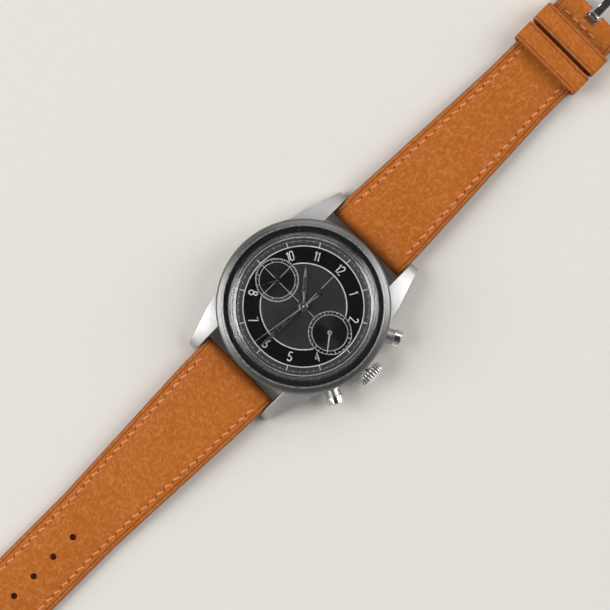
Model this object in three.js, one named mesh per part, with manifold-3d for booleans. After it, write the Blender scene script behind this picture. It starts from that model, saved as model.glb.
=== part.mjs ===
// Hand-wound two-register wrist chronograph on a leather strap, in millimetres.
// +Z points out of the dial, +Y to 12 o'clock and +X to 3 o'clock, where the crown is.
// The origin is on the dial's axis, on the flat of the case back, which rests on the table.

import * as THREE from "three";
import { mergeVertices } from "three/addons/utils/BufferGeometryUtils.js";
import Module from "manifold-3d";

const wasm = await Module();
wasm.setup();

// ---- Driving dimensions ----

const DEG = Math.PI / 180;

// Case
const CASE_RADIUS = 18.8;
const BEZEL_RADIUS = 19.0;
const BEZEL_BORE = 17.4;
const CASE_BORE = 15.9;
const LUG_GAP = 20.0;
const LUG_REACH = 23.4;
const LUG_BAR_Y = 21.0;
const LUG_BAR_Z = 3.0;

// Levels of the assembly, from the table up
const BACK_INSIDE_Z = 1.1;
const CASE_LOW_Z = 1.2;
const CASE_TOP_Z = 7.4;
const CHRONO_BRIDGE = [1.25, 1.62];
const LEVER_LEVEL = [1.7, 1.88];
const CHRONO_LEVEL = [1.95, 2.2];
const WINDING_LEVEL = [2.35, 2.75];
const BRIDGE_LEVEL = [2.85, 3.2];
const LOW_WHEEL_LEVEL = [3.4, 3.65];
const HIGH_WHEEL_LEVEL = [4.3, 4.55];
const ESCAPE_LEVEL = [4.75, 5.0];
const PLATE_LEVEL = [5.35, 6.3];
const MOTION_LOW = [6.36, 6.6];
const MOTION_HIGH = [6.64, 6.88];
const DIAL_LOW_Z = 7.0;
const DIAL_TOP_Z = 7.4;
const SUBDIAL_DEPTH = 0.15;
const SMALL_HAND = [7.58, 7.68];
const HOUR_HAND = [7.8, 7.94];
const MINUTE_HAND = [8.34, 8.48];
const SWEEP_HAND = [8.86, 9.0];
const BEZEL_TOP_Z = 9.3;
const CRYSTAL_TOP_Z = 12.8;

// Movement
const PLATE_RADIUS = 15.7;
const SUBDIAL_X = 8.0;
const ARBOR_R = 0.25;
const PIVOT_R = 0.12;
const JEWEL_R = 0.18;
const STEM_Z = 4.3;
const STEM_R = 0.5;
const PUSHER_ANGLE = 26;

// Hands, angles clockwise from 12 o'clock
const HOUR_ANGLE = 318.2;
const MINUTE_ANGLE = 182.5;
const SWEEP_ANGLE = 189.2;
const SMALL_SECONDS_ANGLE = 206;
const COUNTER_ANGLE = 142.7;

// Strap and buckle
const STRAP_LUG_HALF = 9.85;
const STRAP_END_HALF = 8.0;
const STRAP_TAPER_END = 66;
const BUCKLE_BAR_Y = 89.5;
const BUCKLE_BAR_Z = 2.0;
const TAIL_TIP_Y = 133;
const HOLE_FIRST_Y = 71.1;
const HOLE_PITCH = 6.05;
const HOLE_COUNT = 7;
const HOLE_R = 0.72;
const KEEPER_WIDTH = 5.0;
const KEEPER_FREE_Y = 76.4;
const KEEPER_FIXED_Y = 82.1;

// ---- Finishes ----

const FINISHES = {
  steel: [0xc4c4c2, 0.35, 1.0],
  polished: [0xd8d8d8, 0.12, 1.0],
  gilt: [0xd8b46a, 0.3, 1.0],
  nickel: [0xbfc0bd, 0.3, 1.0],
  black: [0x141414, 0.45, 0.0],
  rubber: [0x101010, 0.8, 0.0],
  crystal: [0xe8eef0, 0.05, 0.0],
  leather: [0xb4682a, 0.7, 0.0],
};

const watch = new THREE.Group();

function add(name, finish, geometry, x = 0, y = 0) {
  const [color, roughness, metalness] = FINISHES[finish];
  const material = new THREE.MeshStandardMaterial({ color, roughness, metalness });
  if (finish === "crystal") {
    material.transparent = true;
    material.opacity = 0.35;
  }
  const mesh = new THREE.Mesh(geometry, material);
  mesh.name = name;
  mesh.position.set(x, y, 0);
  watch.add(mesh);
  return mesh;
}

// ---- Solid helpers ----

// Welds a three.js geometry, drops collapsed faces and turns its faces outwards.
function toSolid(geometry) {
  const bare = new THREE.BufferGeometry();
  bare.setAttribute("position", geometry.getAttribute("position"));
  bare.setIndex(geometry.getIndex());
  const welded = mergeVertices(bare, 1e-4);
  const points = welded.getAttribute("position");
  const index = welded.getIndex().array;
  const faces = [];
  let volume = 0;
  const a = new THREE.Vector3();
  const b = new THREE.Vector3();
  const c = new THREE.Vector3();
  for (let i = 0; i < index.length; i += 3) {
    const [p, q, r] = [index[i], index[i + 1], index[i + 2]];
    if (p === q || q === r || r === p) continue;
    a.fromBufferAttribute(points, p);
    b.fromBufferAttribute(points, q);
    c.fromBufferAttribute(points, r);
    volume += a.dot(b.clone().cross(c));
    faces.push([p, q, r]);
  }
  const outward = faces.map(([p, q, r]) => (volume < 0 ? [p, r, q] : [p, q, r]));
  const mesh = new wasm.Mesh({
    numProp: 3,
    vertProperties: new Float32Array(points.array),
    triVerts: new Uint32Array(outward.flat()),
  });
  return new wasm.Manifold(mesh);
}

function toGeometry(solid) {
  const mesh = solid.getMesh();
  const geometry = new THREE.BufferGeometry();
  geometry.setAttribute("position", new THREE.BufferAttribute(mesh.vertProperties, 3));
  geometry.setIndex(new THREE.BufferAttribute(mesh.triVerts, 1));
  return geometry;
}

function join(...geometries) {
  const solids = geometries.map(toSolid);
  return toGeometry(solids.reduce((whole, next) => whole.add(next)));
}

function cut(geometry, ...tools) {
  const solids = tools.map(toSolid);
  return toGeometry(solids.reduce((rest, tool) => rest.subtract(tool), toSolid(geometry)));
}

function common(first, second) {
  return toGeometry(toSolid(first).intersect(toSolid(second)));
}

function moved(geometry, x, y, z = 0) {
  return geometry.clone().translate(x, y, z);
}

// A turned piece about +Z: the profile is a closed loop of [radius, z].
function turned(profile, sides = 40) {
  const loop = [...profile, profile[0]].map(([r, z]) => new THREE.Vector2(r, z));
  return new THREE.LatheGeometry(loop, sides).rotateX(Math.PI / 2);
}

function disc(radius, [low, high], sides = 20) {
  return turned([[0, low], [radius, low], [radius, high], [0, high]], sides);
}

function ring(inner, outer, [low, high], sides = 36) {
  return turned([[inner, low], [outer, low], [outer, high], [inner, high]], sides);
}

// A flat piece from an outline of [x, y] points.
function plate(points, [low, high], holes = []) {
  const shape = new THREE.Shape(points.map(([x, y]) => new THREE.Vector2(x, y)));
  for (const [x, y, r] of holes) {
    const path = new THREE.Path();
    path.absarc(x, y, r, 0, 2 * Math.PI, true);
    shape.holes.push(path);
  }
  const depth = high - low;
  const flat = new THREE.ExtrudeGeometry(shape, { depth, bevelEnabled: false, curveSegments: 5 });
  return flat.translate(0, 0, low);
}

// A straight prism along X from an outline of [y, z] points.
function alongX(points, [left, right]) {
  const flat = plate(points, [left, right]);
  const turn = new THREE.Matrix4().set(0, 0, 1, 0, 1, 0, 0, 0, 0, 1, 0, 0, 0, 0, 0, 1);
  return flat.applyMatrix4(turn);
}

function circlePoints(x, y, r, count = 10, from = 0, sweep = 360) {
  const steps = sweep === 360 ? count : count - 1;
  const points = [];
  for (let i = 0; i < count; i += 1) {
    const angle = (from + (sweep * i) / steps) * DEG;
    points.push([x + r * Math.cos(angle), y + r * Math.sin(angle)]);
  }
  return points;
}

// The tight outline around a set of circles [x, y, radius].
function hull(circles) {
  const points = circles.flatMap(([x, y, r]) => circlePoints(x, y, r));
  points.sort((p, q) => p[0] - q[0] || p[1] - q[1]);
  const turn = (o, p, q) => (p[0] - o[0]) * (q[1] - o[1]) - (p[1] - o[1]) * (q[0] - o[0]);
  const half = (list) => {
    const chain = [];
    for (const p of list) {
      while (chain.length > 1 && turn(chain.at(-2), chain.at(-1), p) <= 1e-9) chain.pop();
      chain.push(p);
    }
    return chain.slice(0, -1);
  };
  return [...half(points), ...half(points.reverse())];
}

// A cylinder along a direction in the XY plane, between two distances from the centre line.
function radialRod(profile, angle, z, sides = 16) {
  const rod = turned(profile, sides).rotateY(Math.PI / 2);
  return rod.rotateZ(angle * DEG).translate(0, 0, z);
}

function rodAlongX(radius, [left, right], y, z, sides = 14) {
  return disc(radius, [left, right], sides).rotateY(Math.PI / 2).translate(0, y, z);
}

// ---- Gears ----

// A wheel knows its place, teeth and module, and the turn that puts it in mesh.
function wheel(x, y, teeth, module, phase = 0) {
  return { x, y, teeth, module, phase, radius: (teeth * module) / 2 };
}

// Turns wheel b so that its gaps meet the teeth of wheel a on the line between them.
function inMesh(a, b) {
  const line = Math.atan2(b.y - a.y, b.x - a.x);
  const share = (line - a.phase) / ((2 * Math.PI) / a.teeth);
  const phase = line + Math.PI - (0.5 - share) * ((2 * Math.PI) / b.teeth);
  return { ...b, phase };
}

function gearOutline({ teeth, module, phase, radius }) {
  const tip = radius + 0.85 * module;
  const root = radius - 1.15 * module;
  const pitch = (2 * Math.PI) / teeth;
  const points = [];
  for (let i = 0; i < teeth; i += 1) {
    const middle = phase + i * pitch;
    points.push([tip * Math.cos(middle), tip * Math.sin(middle)]);
    const gap = middle + pitch / 2;
    points.push([root * Math.cos(gap), root * Math.sin(gap)]);
  }
  return points;
}

function gear(data, level, bore = 0) {
  return plate(gearOutline(data), level, bore ? [[0, 0, bore]] : []);
}

function centreDistance(teethA, teethB, module) {
  return ((teethA + teethB) * module) / 2;
}

// A point at a distance from a and another distance from b, on the side asked for.
function meeting(a, distanceA, b, distanceB, side) {
  const gap = Math.hypot(b.x - a.x, b.y - a.y);
  const along = (distanceA ** 2 - distanceB ** 2 + gap ** 2) / (2 * gap);
  const off = side * Math.sqrt(distanceA ** 2 - along ** 2);
  const ux = (b.x - a.x) / gap;
  const uy = (b.y - a.y) / gap;
  return { x: a.x + along * ux - off * uy, y: a.y + along * uy + off * ux };
}

// An arbor with a thin pivot at each end.
function arbor(low, high, radius = ARBOR_R, pivot = 0.3) {
  return turned(
    [
      [0, low - pivot],
      [PIVOT_R, low - pivot],
      [PIVOT_R, low],
      [radius, low],
      [radius, high],
      [PIVOT_R, high],
      [PIVOT_R, high + pivot],
      [0, high + pivot],
    ],
    6,
  );
}

function spiral(inner, outer, turns, thickness, level) {
  const steps = turns * 8;
  const outside = [];
  const inside = [];
  for (let i = 0; i <= steps; i += 1) {
    const angle = (i / steps) * turns * 2 * Math.PI;
    const r = inner + (outer - inner) * (i / steps);
    outside.push([(r + thickness / 2) * Math.cos(angle), (r + thickness / 2) * Math.sin(angle)]);
    inside.push([(r - thickness / 2) * Math.cos(angle), (r - thickness / 2) * Math.sin(angle)]);
  }
  return plate([...outside, ...inside.reverse()], level);
}

// ---- Where the wheels sit ----

const centreWheel = wheel(0, 0, 48, 4.6 / 24);
const barrelDistance = 6.3;
const barrelModule = (2 * barrelDistance) / (42 + 7);
const centrePinion = wheel(0, 0, 7, barrelModule);
const barrelAngle = 66.4 * DEG;
const barrelX = barrelDistance * Math.cos(barrelAngle);
const barrelY = barrelDistance * Math.sin(barrelAngle);
const barrelGear = inMesh(centrePinion, wheel(barrelX, barrelY, 42, barrelModule));

const thirdModule = 3.5 / 22.5;
const fourthAt = { x: -SUBDIAL_X, y: 0 };
const thirdAt = meeting(
  centreWheel,
  centreDistance(48, 6, centreWheel.module),
  fourthAt,
  centreDistance(45, 6, thirdModule),
  1,
);
const thirdPinion = inMesh(centreWheel, wheel(thirdAt.x, thirdAt.y, 6, centreWheel.module));
const thirdWheel = wheel(thirdAt.x, thirdAt.y, 45, thirdModule);
const fourthPinion = inMesh(thirdWheel, wheel(fourthAt.x, 0, 6, thirdModule));
const fourthWheel = wheel(fourthAt.x, 0, 60, 0.1);

const escapeAngle = -110 * DEG;
const escapeDistance = centreDistance(60, 6, 0.1);
const escapeX = fourthAt.x + escapeDistance * Math.cos(escapeAngle);
const escapeY = escapeDistance * Math.sin(escapeAngle);
const escapePinion = inMesh(fourthWheel, wheel(escapeX, escapeY, 6, 0.1));
const leverLine = -50 * DEG;
const palletX = escapeX + 2.9 * Math.cos(leverLine);
const palletY = escapeY + 2.9 * Math.sin(leverLine);
const balanceX = escapeX + 6.0 * Math.cos(leverLine);
const balanceY = escapeY + 6.0 * Math.sin(leverLine);
const BALANCE_RADIUS = 3.8;

// Winding train
const windingModule = 0.25;
const pinionModule = 0.23;
const pinionX = 13.1;
const crownWheelAt = { x: pinionX - 2.0, y: 0 };
const crownWheel = wheel(crownWheelAt.x, 0, 17, windingModule);
const transferAt = meeting(
  { x: barrelX, y: barrelY },
  centreDistance(32, 18, windingModule),
  crownWheelAt,
  centreDistance(17, 18, windingModule),
  1,
);
const transferWheel = inMesh(crownWheel, wheel(transferAt.x, transferAt.y, 18, windingModule));
const ratchetWheel = inMesh(transferWheel, wheel(barrelX, barrelY, 32, windingModule));

// Motion works under the dial
const motionDistance = 3.6;
const motionModule = (2 * motionDistance) / (8 + 24);
const hourModule = (2 * motionDistance) / (8 + 32);
const cannonGear = wheel(0, 0, 8, motionModule);
const minuteWheelGear = inMesh(cannonGear, wheel(0, motionDistance, 24, motionModule));
const minutePinionGear = wheel(0, motionDistance, 8, hourModule);
const hourWheelGear = inMesh(minutePinionGear, wheel(0, 0, 32, hourModule));

// Chronograph work
const chronoModule = 0.15;
const chronoGear = wheel(0, 0, 48, chronoModule);
const drivingGear = wheel(fourthAt.x, 0, 27, chronoModule);
const couplingRest = 20 * DEG;
const couplingArm = centreDistance(27, 16, chronoModule) + 0.1;
const couplingX = fourthAt.x + couplingArm * Math.cos(couplingRest);
const couplingY = couplingArm * Math.sin(couplingRest);
const couplingGear = inMesh(drivingGear, wheel(couplingX, couplingY, 16, chronoModule));
const counterGear = wheel(SUBDIAL_X, 0, 20, 0.21);
const columnX = 7.6;
const columnY = 9.8;
const hammerX = 4.0;
const hammerY = -9.5;
const operatingX = 13.4;
const operatingY = 2.7;

// ---- Case ----

function sidePolygon(half) {
  const front = half.map(([y, z]) => [y, z]);
  const back = half.map(([y, z]) => [-y, z]).reverse();
  return [...front, ...back];
}

function caseMiddle() {
  const tipHalf = 12.2;
  const rootHalf = 16.5;
  const lug = [[LUG_GAP / 2, 12], [LUG_GAP / 2, 30], [tipHalf, 30], [tipHalf, LUG_REACH - 0.4]];
  lug.push([rootHalf, 9.3], [12, 9.3]);
  const quarters = [[1, 1], [-1, 1], [1, -1], [-1, -1]];
  const prisms = quarters.map(([sx, sy]) => plate(lug.map(([x, y]) => [sx * x, sy * y]), [0, 8]));
  const plan = join(disc(CASE_RADIUS, [0, 8], 48), ...prisms);
  const side = sidePolygon([
    [14.0, CASE_TOP_Z],
    [16.5, CASE_TOP_Z - 0.1],
    [19.0, 6.6],
    [21.5, 5.2],
    [22.8, 3.8],
    [LUG_REACH, 2.2],
    [LUG_REACH, 1.2],
    [LUG_REACH - 0.5, 0.7],
    [LUG_REACH - 1.6, 0.6],
    [19.8, 0.8],
    [18.0, CASE_LOW_Z],
  ]);
  const body = common(plan, alongX(side, [-20, 20]));
  const bore = disc(CASE_BORE, [-1, 9], 36);
  const backSeat = disc(17.0, [-1, 1.75], 32);
  const crownBore = rodAlongX(1.5, [14, 21], 0, STEM_Z);
  const pusherBores = [1, -1].map((side) =>
    radialRod([[0, 14], [2.1, 14], [2.1, 21], [0, 21]], side * PUSHER_ANGLE, STEM_Z),
  );
  const barBores = [1, -1].map((side) =>
    rodAlongX(0.45, [-11.1, 11.1], side * LUG_BAR_Y, LUG_BAR_Z, 12),
  );
  return cut(body, bore, backSeat, crownBore, ...pusherBores, ...barBores);
}

function bezel() {
  return turned(
    [
      [BEZEL_BORE, CASE_TOP_Z + 0.04],
      [BEZEL_RADIUS - 0.15, CASE_TOP_Z + 0.04],
      [BEZEL_RADIUS, CASE_TOP_Z + 0.3],
      [BEZEL_RADIUS, 8.3],
      [18.6, 8.95],
      [17.9, BEZEL_TOP_Z],
      [BEZEL_BORE, BEZEL_TOP_Z],
    ],
    48,
  );
}

// A domed acrylic crystal with a flat rim that lies on the seat ring inside the bezel.
function crystal() {
  const foot = 8.02;
  const rim = BEZEL_BORE - 0.05;
  return turned(
    [
      [14.85, foot],
      [rim, foot],
      [rim, 9.05],
      [15.95, 9.1],
      [15.85, 9.4],
      [15.7, 10.4],
      [15.3, 11.2],
      [14.5, 11.75],
      [12.0, 12.3],
      [6.5, 12.7],
      [0, CRYSTAL_TOP_Z],
      [0, 11.6],
      [6.5, 11.5],
      [12.0, 11.1],
      [13.7, 10.7],
      [14.5, 10.2],
      [14.8, 9.4],
    ],
    36,
  );
}

function caseBack() {
  const outer = 16.85;
  return turned(
    [
      [0, 0],
      [14.6, 0],
      [16.0, 0.45],
      [outer, 1.0],
      [outer, 1.7],
      [16.3, 1.7],
      [16.3, 1.35],
      [15.8, 1.35],
      [15.8, 1.7],
      [15.2, 1.7],
      [15.0, BACK_INSIDE_Z],
      [0, BACK_INSIDE_Z],
    ],
    32,
  );
}

add("case_middle", "steel", caseMiddle());
add("bezel", "polished", bezel());
add("crystal", "crystal", crystal());
add("crystal_seat_ring", "black", ring(15.3, 17.3, [CASE_TOP_Z + 0.05, 7.95], 36));
add("case_back", "steel", caseBack());
add("case_back_gasket", "rubber", ring(15.84, 16.26, [1.38, 1.72], 32));
add("crown_tube", "steel", radialRod([[1.05, 16.2], [1.45, 16.2], [1.45, 19.2], [1.05, 19.2]], 0, STEM_Z));

const SIDES = [["start", 1], ["reset", -1]];
for (const [name, side] of SIDES) {
  const tube = [[1.75, 16.2], [2.05, 16.2], [2.05, 19.1], [1.75, 19.1]];
  add(`pusher_tube_${name}`, "steel", radialRod(tube, side * PUSHER_ANGLE, STEM_Z));
}

function springBar(halfBody, halfPin, y, z) {
  const body = rodAlongX(0.75, [-halfBody, halfBody], y, z, 12);
  return join(body, rodAlongX(0.4, [-halfPin, halfPin], y, z, 8));
}

add("lug_spring_bar_12", "steel", springBar(9.7, 10.9, LUG_BAR_Y, LUG_BAR_Z));
add("lug_spring_bar_6", "steel", springBar(9.7, 10.9, -LUG_BAR_Y, LUG_BAR_Z));

// ---- Crown, stem and pushers ----

function flutedCrown() {
  const flutes = 28;
  const outline = [];
  for (let i = 0; i < flutes; i += 1) {
    const middle = (i * 2 * Math.PI) / flutes;
    const pitch = (2 * Math.PI) / flutes;
    for (const [r, share] of [[2.78, -0.3], [2.95, 0], [2.78, 0.3]]) {
      const angle = middle + share * pitch;
      outline.push([r * Math.cos(angle), r * Math.sin(angle)]);
    }
  }
  const grip = plate(outline, [19.75, 21.7]);
  const neck = disc(2.25, [19.4, 19.8], 24);
  const dome = turned([[0, 21.6], [2.6, 21.6], [2.3, 22.0], [0, 22.2]], 24);
  const core = disc(0.95, [18.2, 19.5], 16);
  return join(grip, neck, dome, core).rotateY(Math.PI / 2).translate(0, 0, STEM_Z);
}

add("crown", "polished", flutedCrown());
add("winding_stem", "steel", rodAlongX(STEM_R, [9.2, 18.15], 0, STEM_Z, 14));

function windingPinion() {
  const crossed = gear(wheel(0, 0, 12, pinionModule), [pinionX - 0.5, pinionX + 0.5], 0.56);
  return crossed.rotateY(Math.PI / 2).translate(0, 0, STEM_Z);
}

add("winding_pinion", "steel", windingPinion());

function slidingPinion() {
  const profile = [[0.56, 11.1], [0.95, 11.1], [0.95, 11.5], [0.7, 11.6], [0.7, 11.9], [0.95, 12.0]];
  profile.push([0.95, 12.45], [0.56, 12.45]);
  return radialRod(profile, 0, STEM_Z, 16);
}

add("sliding_pinion", "steel", slidingPinion());

for (const [name, side] of SIDES) {
  const profile = [[0, 15.2], [0.6, 15.2], [0.6, 17.4], [1.65, 17.4], [1.65, 20.5], [2.0, 20.6]];
  profile.push([2.0, 22.25], [1.8, 22.5], [0, 22.5]);
  add(`pusher_${name}`, "polished", radialRod(profile, side * PUSHER_ANGLE, STEM_Z, 16));
}

// ---- Dial and hands ----

function dial() {
  const blank = disc(15.7, [DIAL_LOW_Z, DIAL_TOP_Z], 40);
  const wells = [-1, 1].map((side) =>
    moved(disc(4.75, [DIAL_TOP_Z - SUBDIAL_DEPTH, 8], 28), side * SUBDIAL_X, 0),
  );
  const holes = [-1, 1].map((side) => moved(disc(0.3, [6, 8], 8), side * SUBDIAL_X, 0));
  return cut(blank, disc(0.98, [6, 8], 14), ...wells, ...holes);
}

add("dial", "black", dial());

// A flat hand that points to a clock angle, with a round hub and an optional tail.
function hand({ length, half, hub, bore, level, angle, tail = 0, tailHalf = 0 }) {
  const blade = [[-0.35 * half, hub * 0.8], [-half, length * 0.4], [-0.08, length]];
  blade.push([0.08, length], [half, length * 0.4], [0.35 * half, hub * 0.8]);
  const pieces = [plate(blade, level), disc(hub, level, 14)];
  if (tail) {
    pieces.push(plate([[-0.12, 0], [0.12, 0], [0.12, -tail], [-0.12, -tail]], level));
    pieces.push(moved(disc(tailHalf, level, 10), 0, -tail + tailHalf));
  }
  const whole = cut(join(...pieces), disc(bore, [0, 20], 10));
  return whole.rotateZ(-angle * DEG);
}

add(
  "hour_hand",
  "polished",
  hand({ length: 8.7, half: 0.45, hub: 1.3, bore: 0.93, level: HOUR_HAND, angle: HOUR_ANGLE }),
);
add(
  "minute_hand",
  "polished",
  hand({ length: 13.0, half: 0.52, hub: 1.1, bore: 0.66, level: MINUTE_HAND, angle: MINUTE_ANGLE }),
);
add(
  "sweep_hand",
  "polished",
  hand({
    length: 13.55,
    half: 0.12,
    hub: 0.85,
    bore: 0.23,
    level: SWEEP_HAND,
    angle: SWEEP_ANGLE,
    tail: 4.5,
    tailHalf: 0.4,
  }),
);
const smallSeconds = { length: 4.3, half: 0.14, hub: 0.54, bore: 0.23, level: SMALL_HAND };
add("small_seconds_hand", "black", hand({ ...smallSeconds, angle: SMALL_SECONDS_ANGLE }), -SUBDIAL_X);
const counterHand = { length: 4.28, half: 0.18, hub: 0.54, bore: 0.23, level: SMALL_HAND };
add("minute_counter_hand", "polished", hand({ ...counterHand, angle: COUNTER_ANGLE }), SUBDIAL_X);

// ---- Plates and bridges ----

const plateJewels = [
  [thirdAt.x, thirdAt.y],
  [escapeX, escapeY],
  [palletX, palletY],
  [balanceX, balanceY],
  [barrelX, barrelY],
];

function mainplate() {
  const blank = disc(PLATE_RADIUS, PLATE_LEVEL, 36);
  const post = moved(disc(0.3, [PLATE_LEVEL[1] - 0.1, 6.92], 12), 0, motionDistance);
  const jewels = plateJewels.map(([x, y]) => moved(disc(JEWEL_R, [5, 5.8], 6), x, y));
  const arbors = [-1, 1].map((side) => moved(disc(0.3, [5, 7], 10), side * SUBDIAL_X, 0));
  const slot = new THREE.BoxGeometry(4.4, 3.5, 1.0);
  slot.translate(12.4, 0, PLATE_LEVEL[0] + 0.1);
  return cut(join(blank, post), disc(0.46, [5, 7], 16), ...jewels, ...arbors, slot);
}

// A bridge is a flat plate over some circles, standing on round feet that reach the mainplate.
function bridge(circles, level, feet, footTop = PLATE_LEVEL[0] - 0.02) {
  const legs = feet.map(([x, y, r]) => moved(disc(r, [level[0], footTop], 10), x, y));
  return join(plate(hull(circles), level), ...legs);
}

function hole(x, y, r, [low, high] = [0, 5]) {
  return moved(disc(r, [low, high], 8), x, y);
}

function trainBridge() {
  const feet = [[-12.6, 4.2, 0.8], [-13.4, -3.6, 0.8], [0.6, -6.6, 0.7]];
  const circles = [...feet, [0, 0, 1.2], [fourthAt.x, 0, 1.0]];
  const body = bridge(circles, BRIDGE_LEVEL, feet);
  const pivots = [hole(thirdAt.x, thirdAt.y, JEWEL_R), hole(escapeX, escapeY, JEWEL_R)];
  return cut(body, hole(0, 0, 0.3), hole(fourthAt.x, 0, 0.32), ...pivots);
}

function barrelBridge() {
  const feet = [[-3.2, 11.6, 0.8], [8.4, 11.0, 0.8], [12.6, 3.3, 0.6]];
  const circles = [...feet, [barrelX, barrelY, 2.5], [crownWheelAt.x, 0, 1.1], [operatingX, operatingY, 0.7]];
  const body = bridge(circles, BRIDGE_LEVEL, feet);
  const studs = [
    [crownWheelAt.x, crownWheelAt.y, 0.6],
    [transferWheel.x, transferWheel.y, 0.6],
    [operatingX, operatingY, 0.3],
    [columnX, columnY, 0.4],
    [clickX, clickY, 0.3],
  ].map(([x, y, r]) => moved(disc(r, [y > 2 && r < 0.5 ? 1.7 : 2.36, 2.9], 12), x, y));
  const slot = new THREE.BoxGeometry(1.3, 3.4, 1.0);
  slot.translate(pinionX, 0, 3.0);
  const tabPath = hole(12.6, 6.3, 1.5);
  return cut(
    join(body, ...studs),
    hole(barrelX, barrelY, 0.66),
    hole(SUBDIAL_X, 0, 0.6),
    slot,
    tabPath,
  );
}

// ---- Going train ----

const clickAngle = 150 * DEG;
const clickX = barrelX + 5.4 * Math.cos(clickAngle);
const clickY = barrelY + 5.4 * Math.sin(clickAngle);

add("mainplate", "nickel", mainplate());
add("train_bridge", "nickel", trainBridge());
add("barrel_bridge", "nickel", barrelBridge());

function barrel() {
  const drum = disc(5.0, [4.0, 5.25], 24);
  const rim = gear(barrelGear, [4.9, 5.25]);
  return cut(join(drum, rim), disc(4.7, [3, 5.05], 24), disc(0.4, [3, 6], 8));
}

function barrelArbor() {
  const profile = [[0, 2.3], [0.3, 2.3], [0.3, 2.8], [0.6, 2.8], [0.6, 4.2], [0.85, 4.2]];
  profile.push([0.85, 5.0], [0.34, 5.0], [0.34, 5.3], [PIVOT_R, 5.3], [PIVOT_R, 5.6], [0, 5.6]);
  return turned(profile, 8);
}

add("barrel", "gilt", barrel(), barrelX, barrelY);
add("mainspring", "steel", spiral(1.0, 4.55, 4, 0.16, [4.2, 4.98]), barrelX, barrelY);
add("barrel_arbor", "steel", barrelArbor(), barrelX, barrelY);

function centreWheelPiece() {
  const tube = disc(0.4, [3.25, 8.55], 10);
  const pieces = [tube, gear(centreWheel, LOW_WHEEL_LEVEL), gear(centrePinion, [4.75, 5.3])];
  return cut(join(...pieces), disc(0.25, [0, 10], 8));
}

add("centre_wheel", "gilt", centreWheelPiece());

function cannonPinion() {
  const pipe = disc(0.62, [6.36, 8.5], 10);
  return cut(join(pipe, gear(cannonGear, MOTION_LOW)), disc(0.44, [0, 10], 10));
}

function hourWheel() {
  const pipe = disc(0.9, [MOTION_HIGH[0], 7.95], 12);
  return cut(join(pipe, gear(hourWheelGear, MOTION_HIGH)), disc(0.67, [0, 10], 10));
}

function minuteWheel() {
  const wheels = join(
    gear(minuteWheelGear, MOTION_LOW),
    gear(minutePinionGear, [MOTION_LOW[1] - 0.02, MOTION_HIGH[1]]),
  );
  return cut(wheels, disc(0.35, [0, 10], 8));
}

add("cannon_pinion", "steel", cannonPinion());
add("hour_wheel", "gilt", hourWheel());
add("minute_wheel", "gilt", minuteWheel(), 0, motionDistance);

function thirdWheelPiece() {
  return join(arbor(3.28, 5.28), gear(thirdPinion, [3.3, 3.75]), gear(thirdWheel, HIGH_WHEEL_LEVEL));
}

function fourthWheelPiece() {
  const staff = turned([[0, 1.8], [PIVOT_R, 1.8], [PIVOT_R, 1.92], [0.22, 1.92], [0.22, 7.78], [0, 7.78]], 6);
  return join(
    staff,
    gear(fourthWheel, LOW_WHEEL_LEVEL),
    gear(fourthPinion, [4.2, 4.65]),
    gear(drivingGear, CHRONO_LEVEL),
  );
}

function escapeWheelPiece() {
  const count = 15;
  const outline = [];
  for (let i = 0; i < count; i += 1) {
    const start = (i * 2 * Math.PI) / count;
    for (const [r, share] of [[1.75, 0], [2.2, 0.6], [1.75, 0.62]]) {
      const angle = start + (share * 2 * Math.PI) / count;
      outline.push([r * Math.cos(angle), r * Math.sin(angle)]);
    }
  }
  return join(arbor(3.28, 5.28), plate(outline, ESCAPE_LEVEL), gear(escapePinion, [3.3, 3.75]));
}

add("third_wheel", "gilt", thirdWheelPiece(), thirdAt.x, thirdAt.y);
add("fourth_wheel", "gilt", fourthWheelPiece(), fourthAt.x, 0);
add("escape_wheel", "gilt", escapeWheelPiece(), escapeX, escapeY);

function palletFork() {
  const line = [[-0.22, -0.3], [0.22, -0.3], [0.16, 2.1], [0.5, 2.4], [0.5, 2.7], [0.22, 2.45]];
  line.push([-0.22, 2.45], [-0.5, 2.7], [-0.5, 2.4], [-0.16, 2.1]);
  const arms = [[-1.62, -0.5], [-1.25, -0.5], [-1.15, -0.12], [1.15, -0.12], [1.25, -0.5]];
  arms.push([1.62, -0.5], [1.5, 0.2], [-1.5, 0.2]);
  const flat = join(plate(line, ESCAPE_LEVEL), plate(arms, ESCAPE_LEVEL));
  const whole = join(flat, arbor(4.62, 5.28, 0.18, 0.2));
  return whole.rotateZ(leverLine - Math.PI / 2);
}

function palletCock() {
  const foot = [-10.7, -7.3, 0.5];
  return cut(
    bridge([foot, [palletX, palletY, 0.5]], [4.15, 4.5], [foot]),
    hole(palletX, palletY, JEWEL_R),
  );
}

add("pallet_fork", "steel", palletFork(), palletX, palletY);
add("pallet_cock", "nickel", palletCock());

function balanceWheel() {
  const rim = ring(BALANCE_RADIUS - 0.5, BALANCE_RADIUS, [3.55, 4.0], 20);
  const arm = new THREE.BoxGeometry(2 * BALANCE_RADIUS - 0.6, 0.6, 0.15).translate(0, 0, 3.8);
  const roller = disc(0.6, [4.5, 4.65], 8);
  return join(rim, arm, roller, disc(0.5, [3.65, 3.9], 8), arbor(3.25, 5.28, 0.2));
}

function balanceCock() {
  const outward = Math.atan2(balanceY, balanceX);
  const reach = 14.3;
  const foot = [reach * Math.cos(outward), reach * Math.sin(outward), 0.65];
  return cut(
    bridge([foot, [balanceX, balanceY, 0.9]], BRIDGE_LEVEL, [foot]),
    hole(balanceX, balanceY, JEWEL_R),
  );
}

add("balance_wheel", "gilt", balanceWheel(), balanceX, balanceY);
add("hairspring", "steel", spiral(0.7, 2.5, 4, 0.08, [3.3, 3.5]), balanceX, balanceY);
add("balance_cock", "nickel", balanceCock());

// ---- Winding train ----

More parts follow.
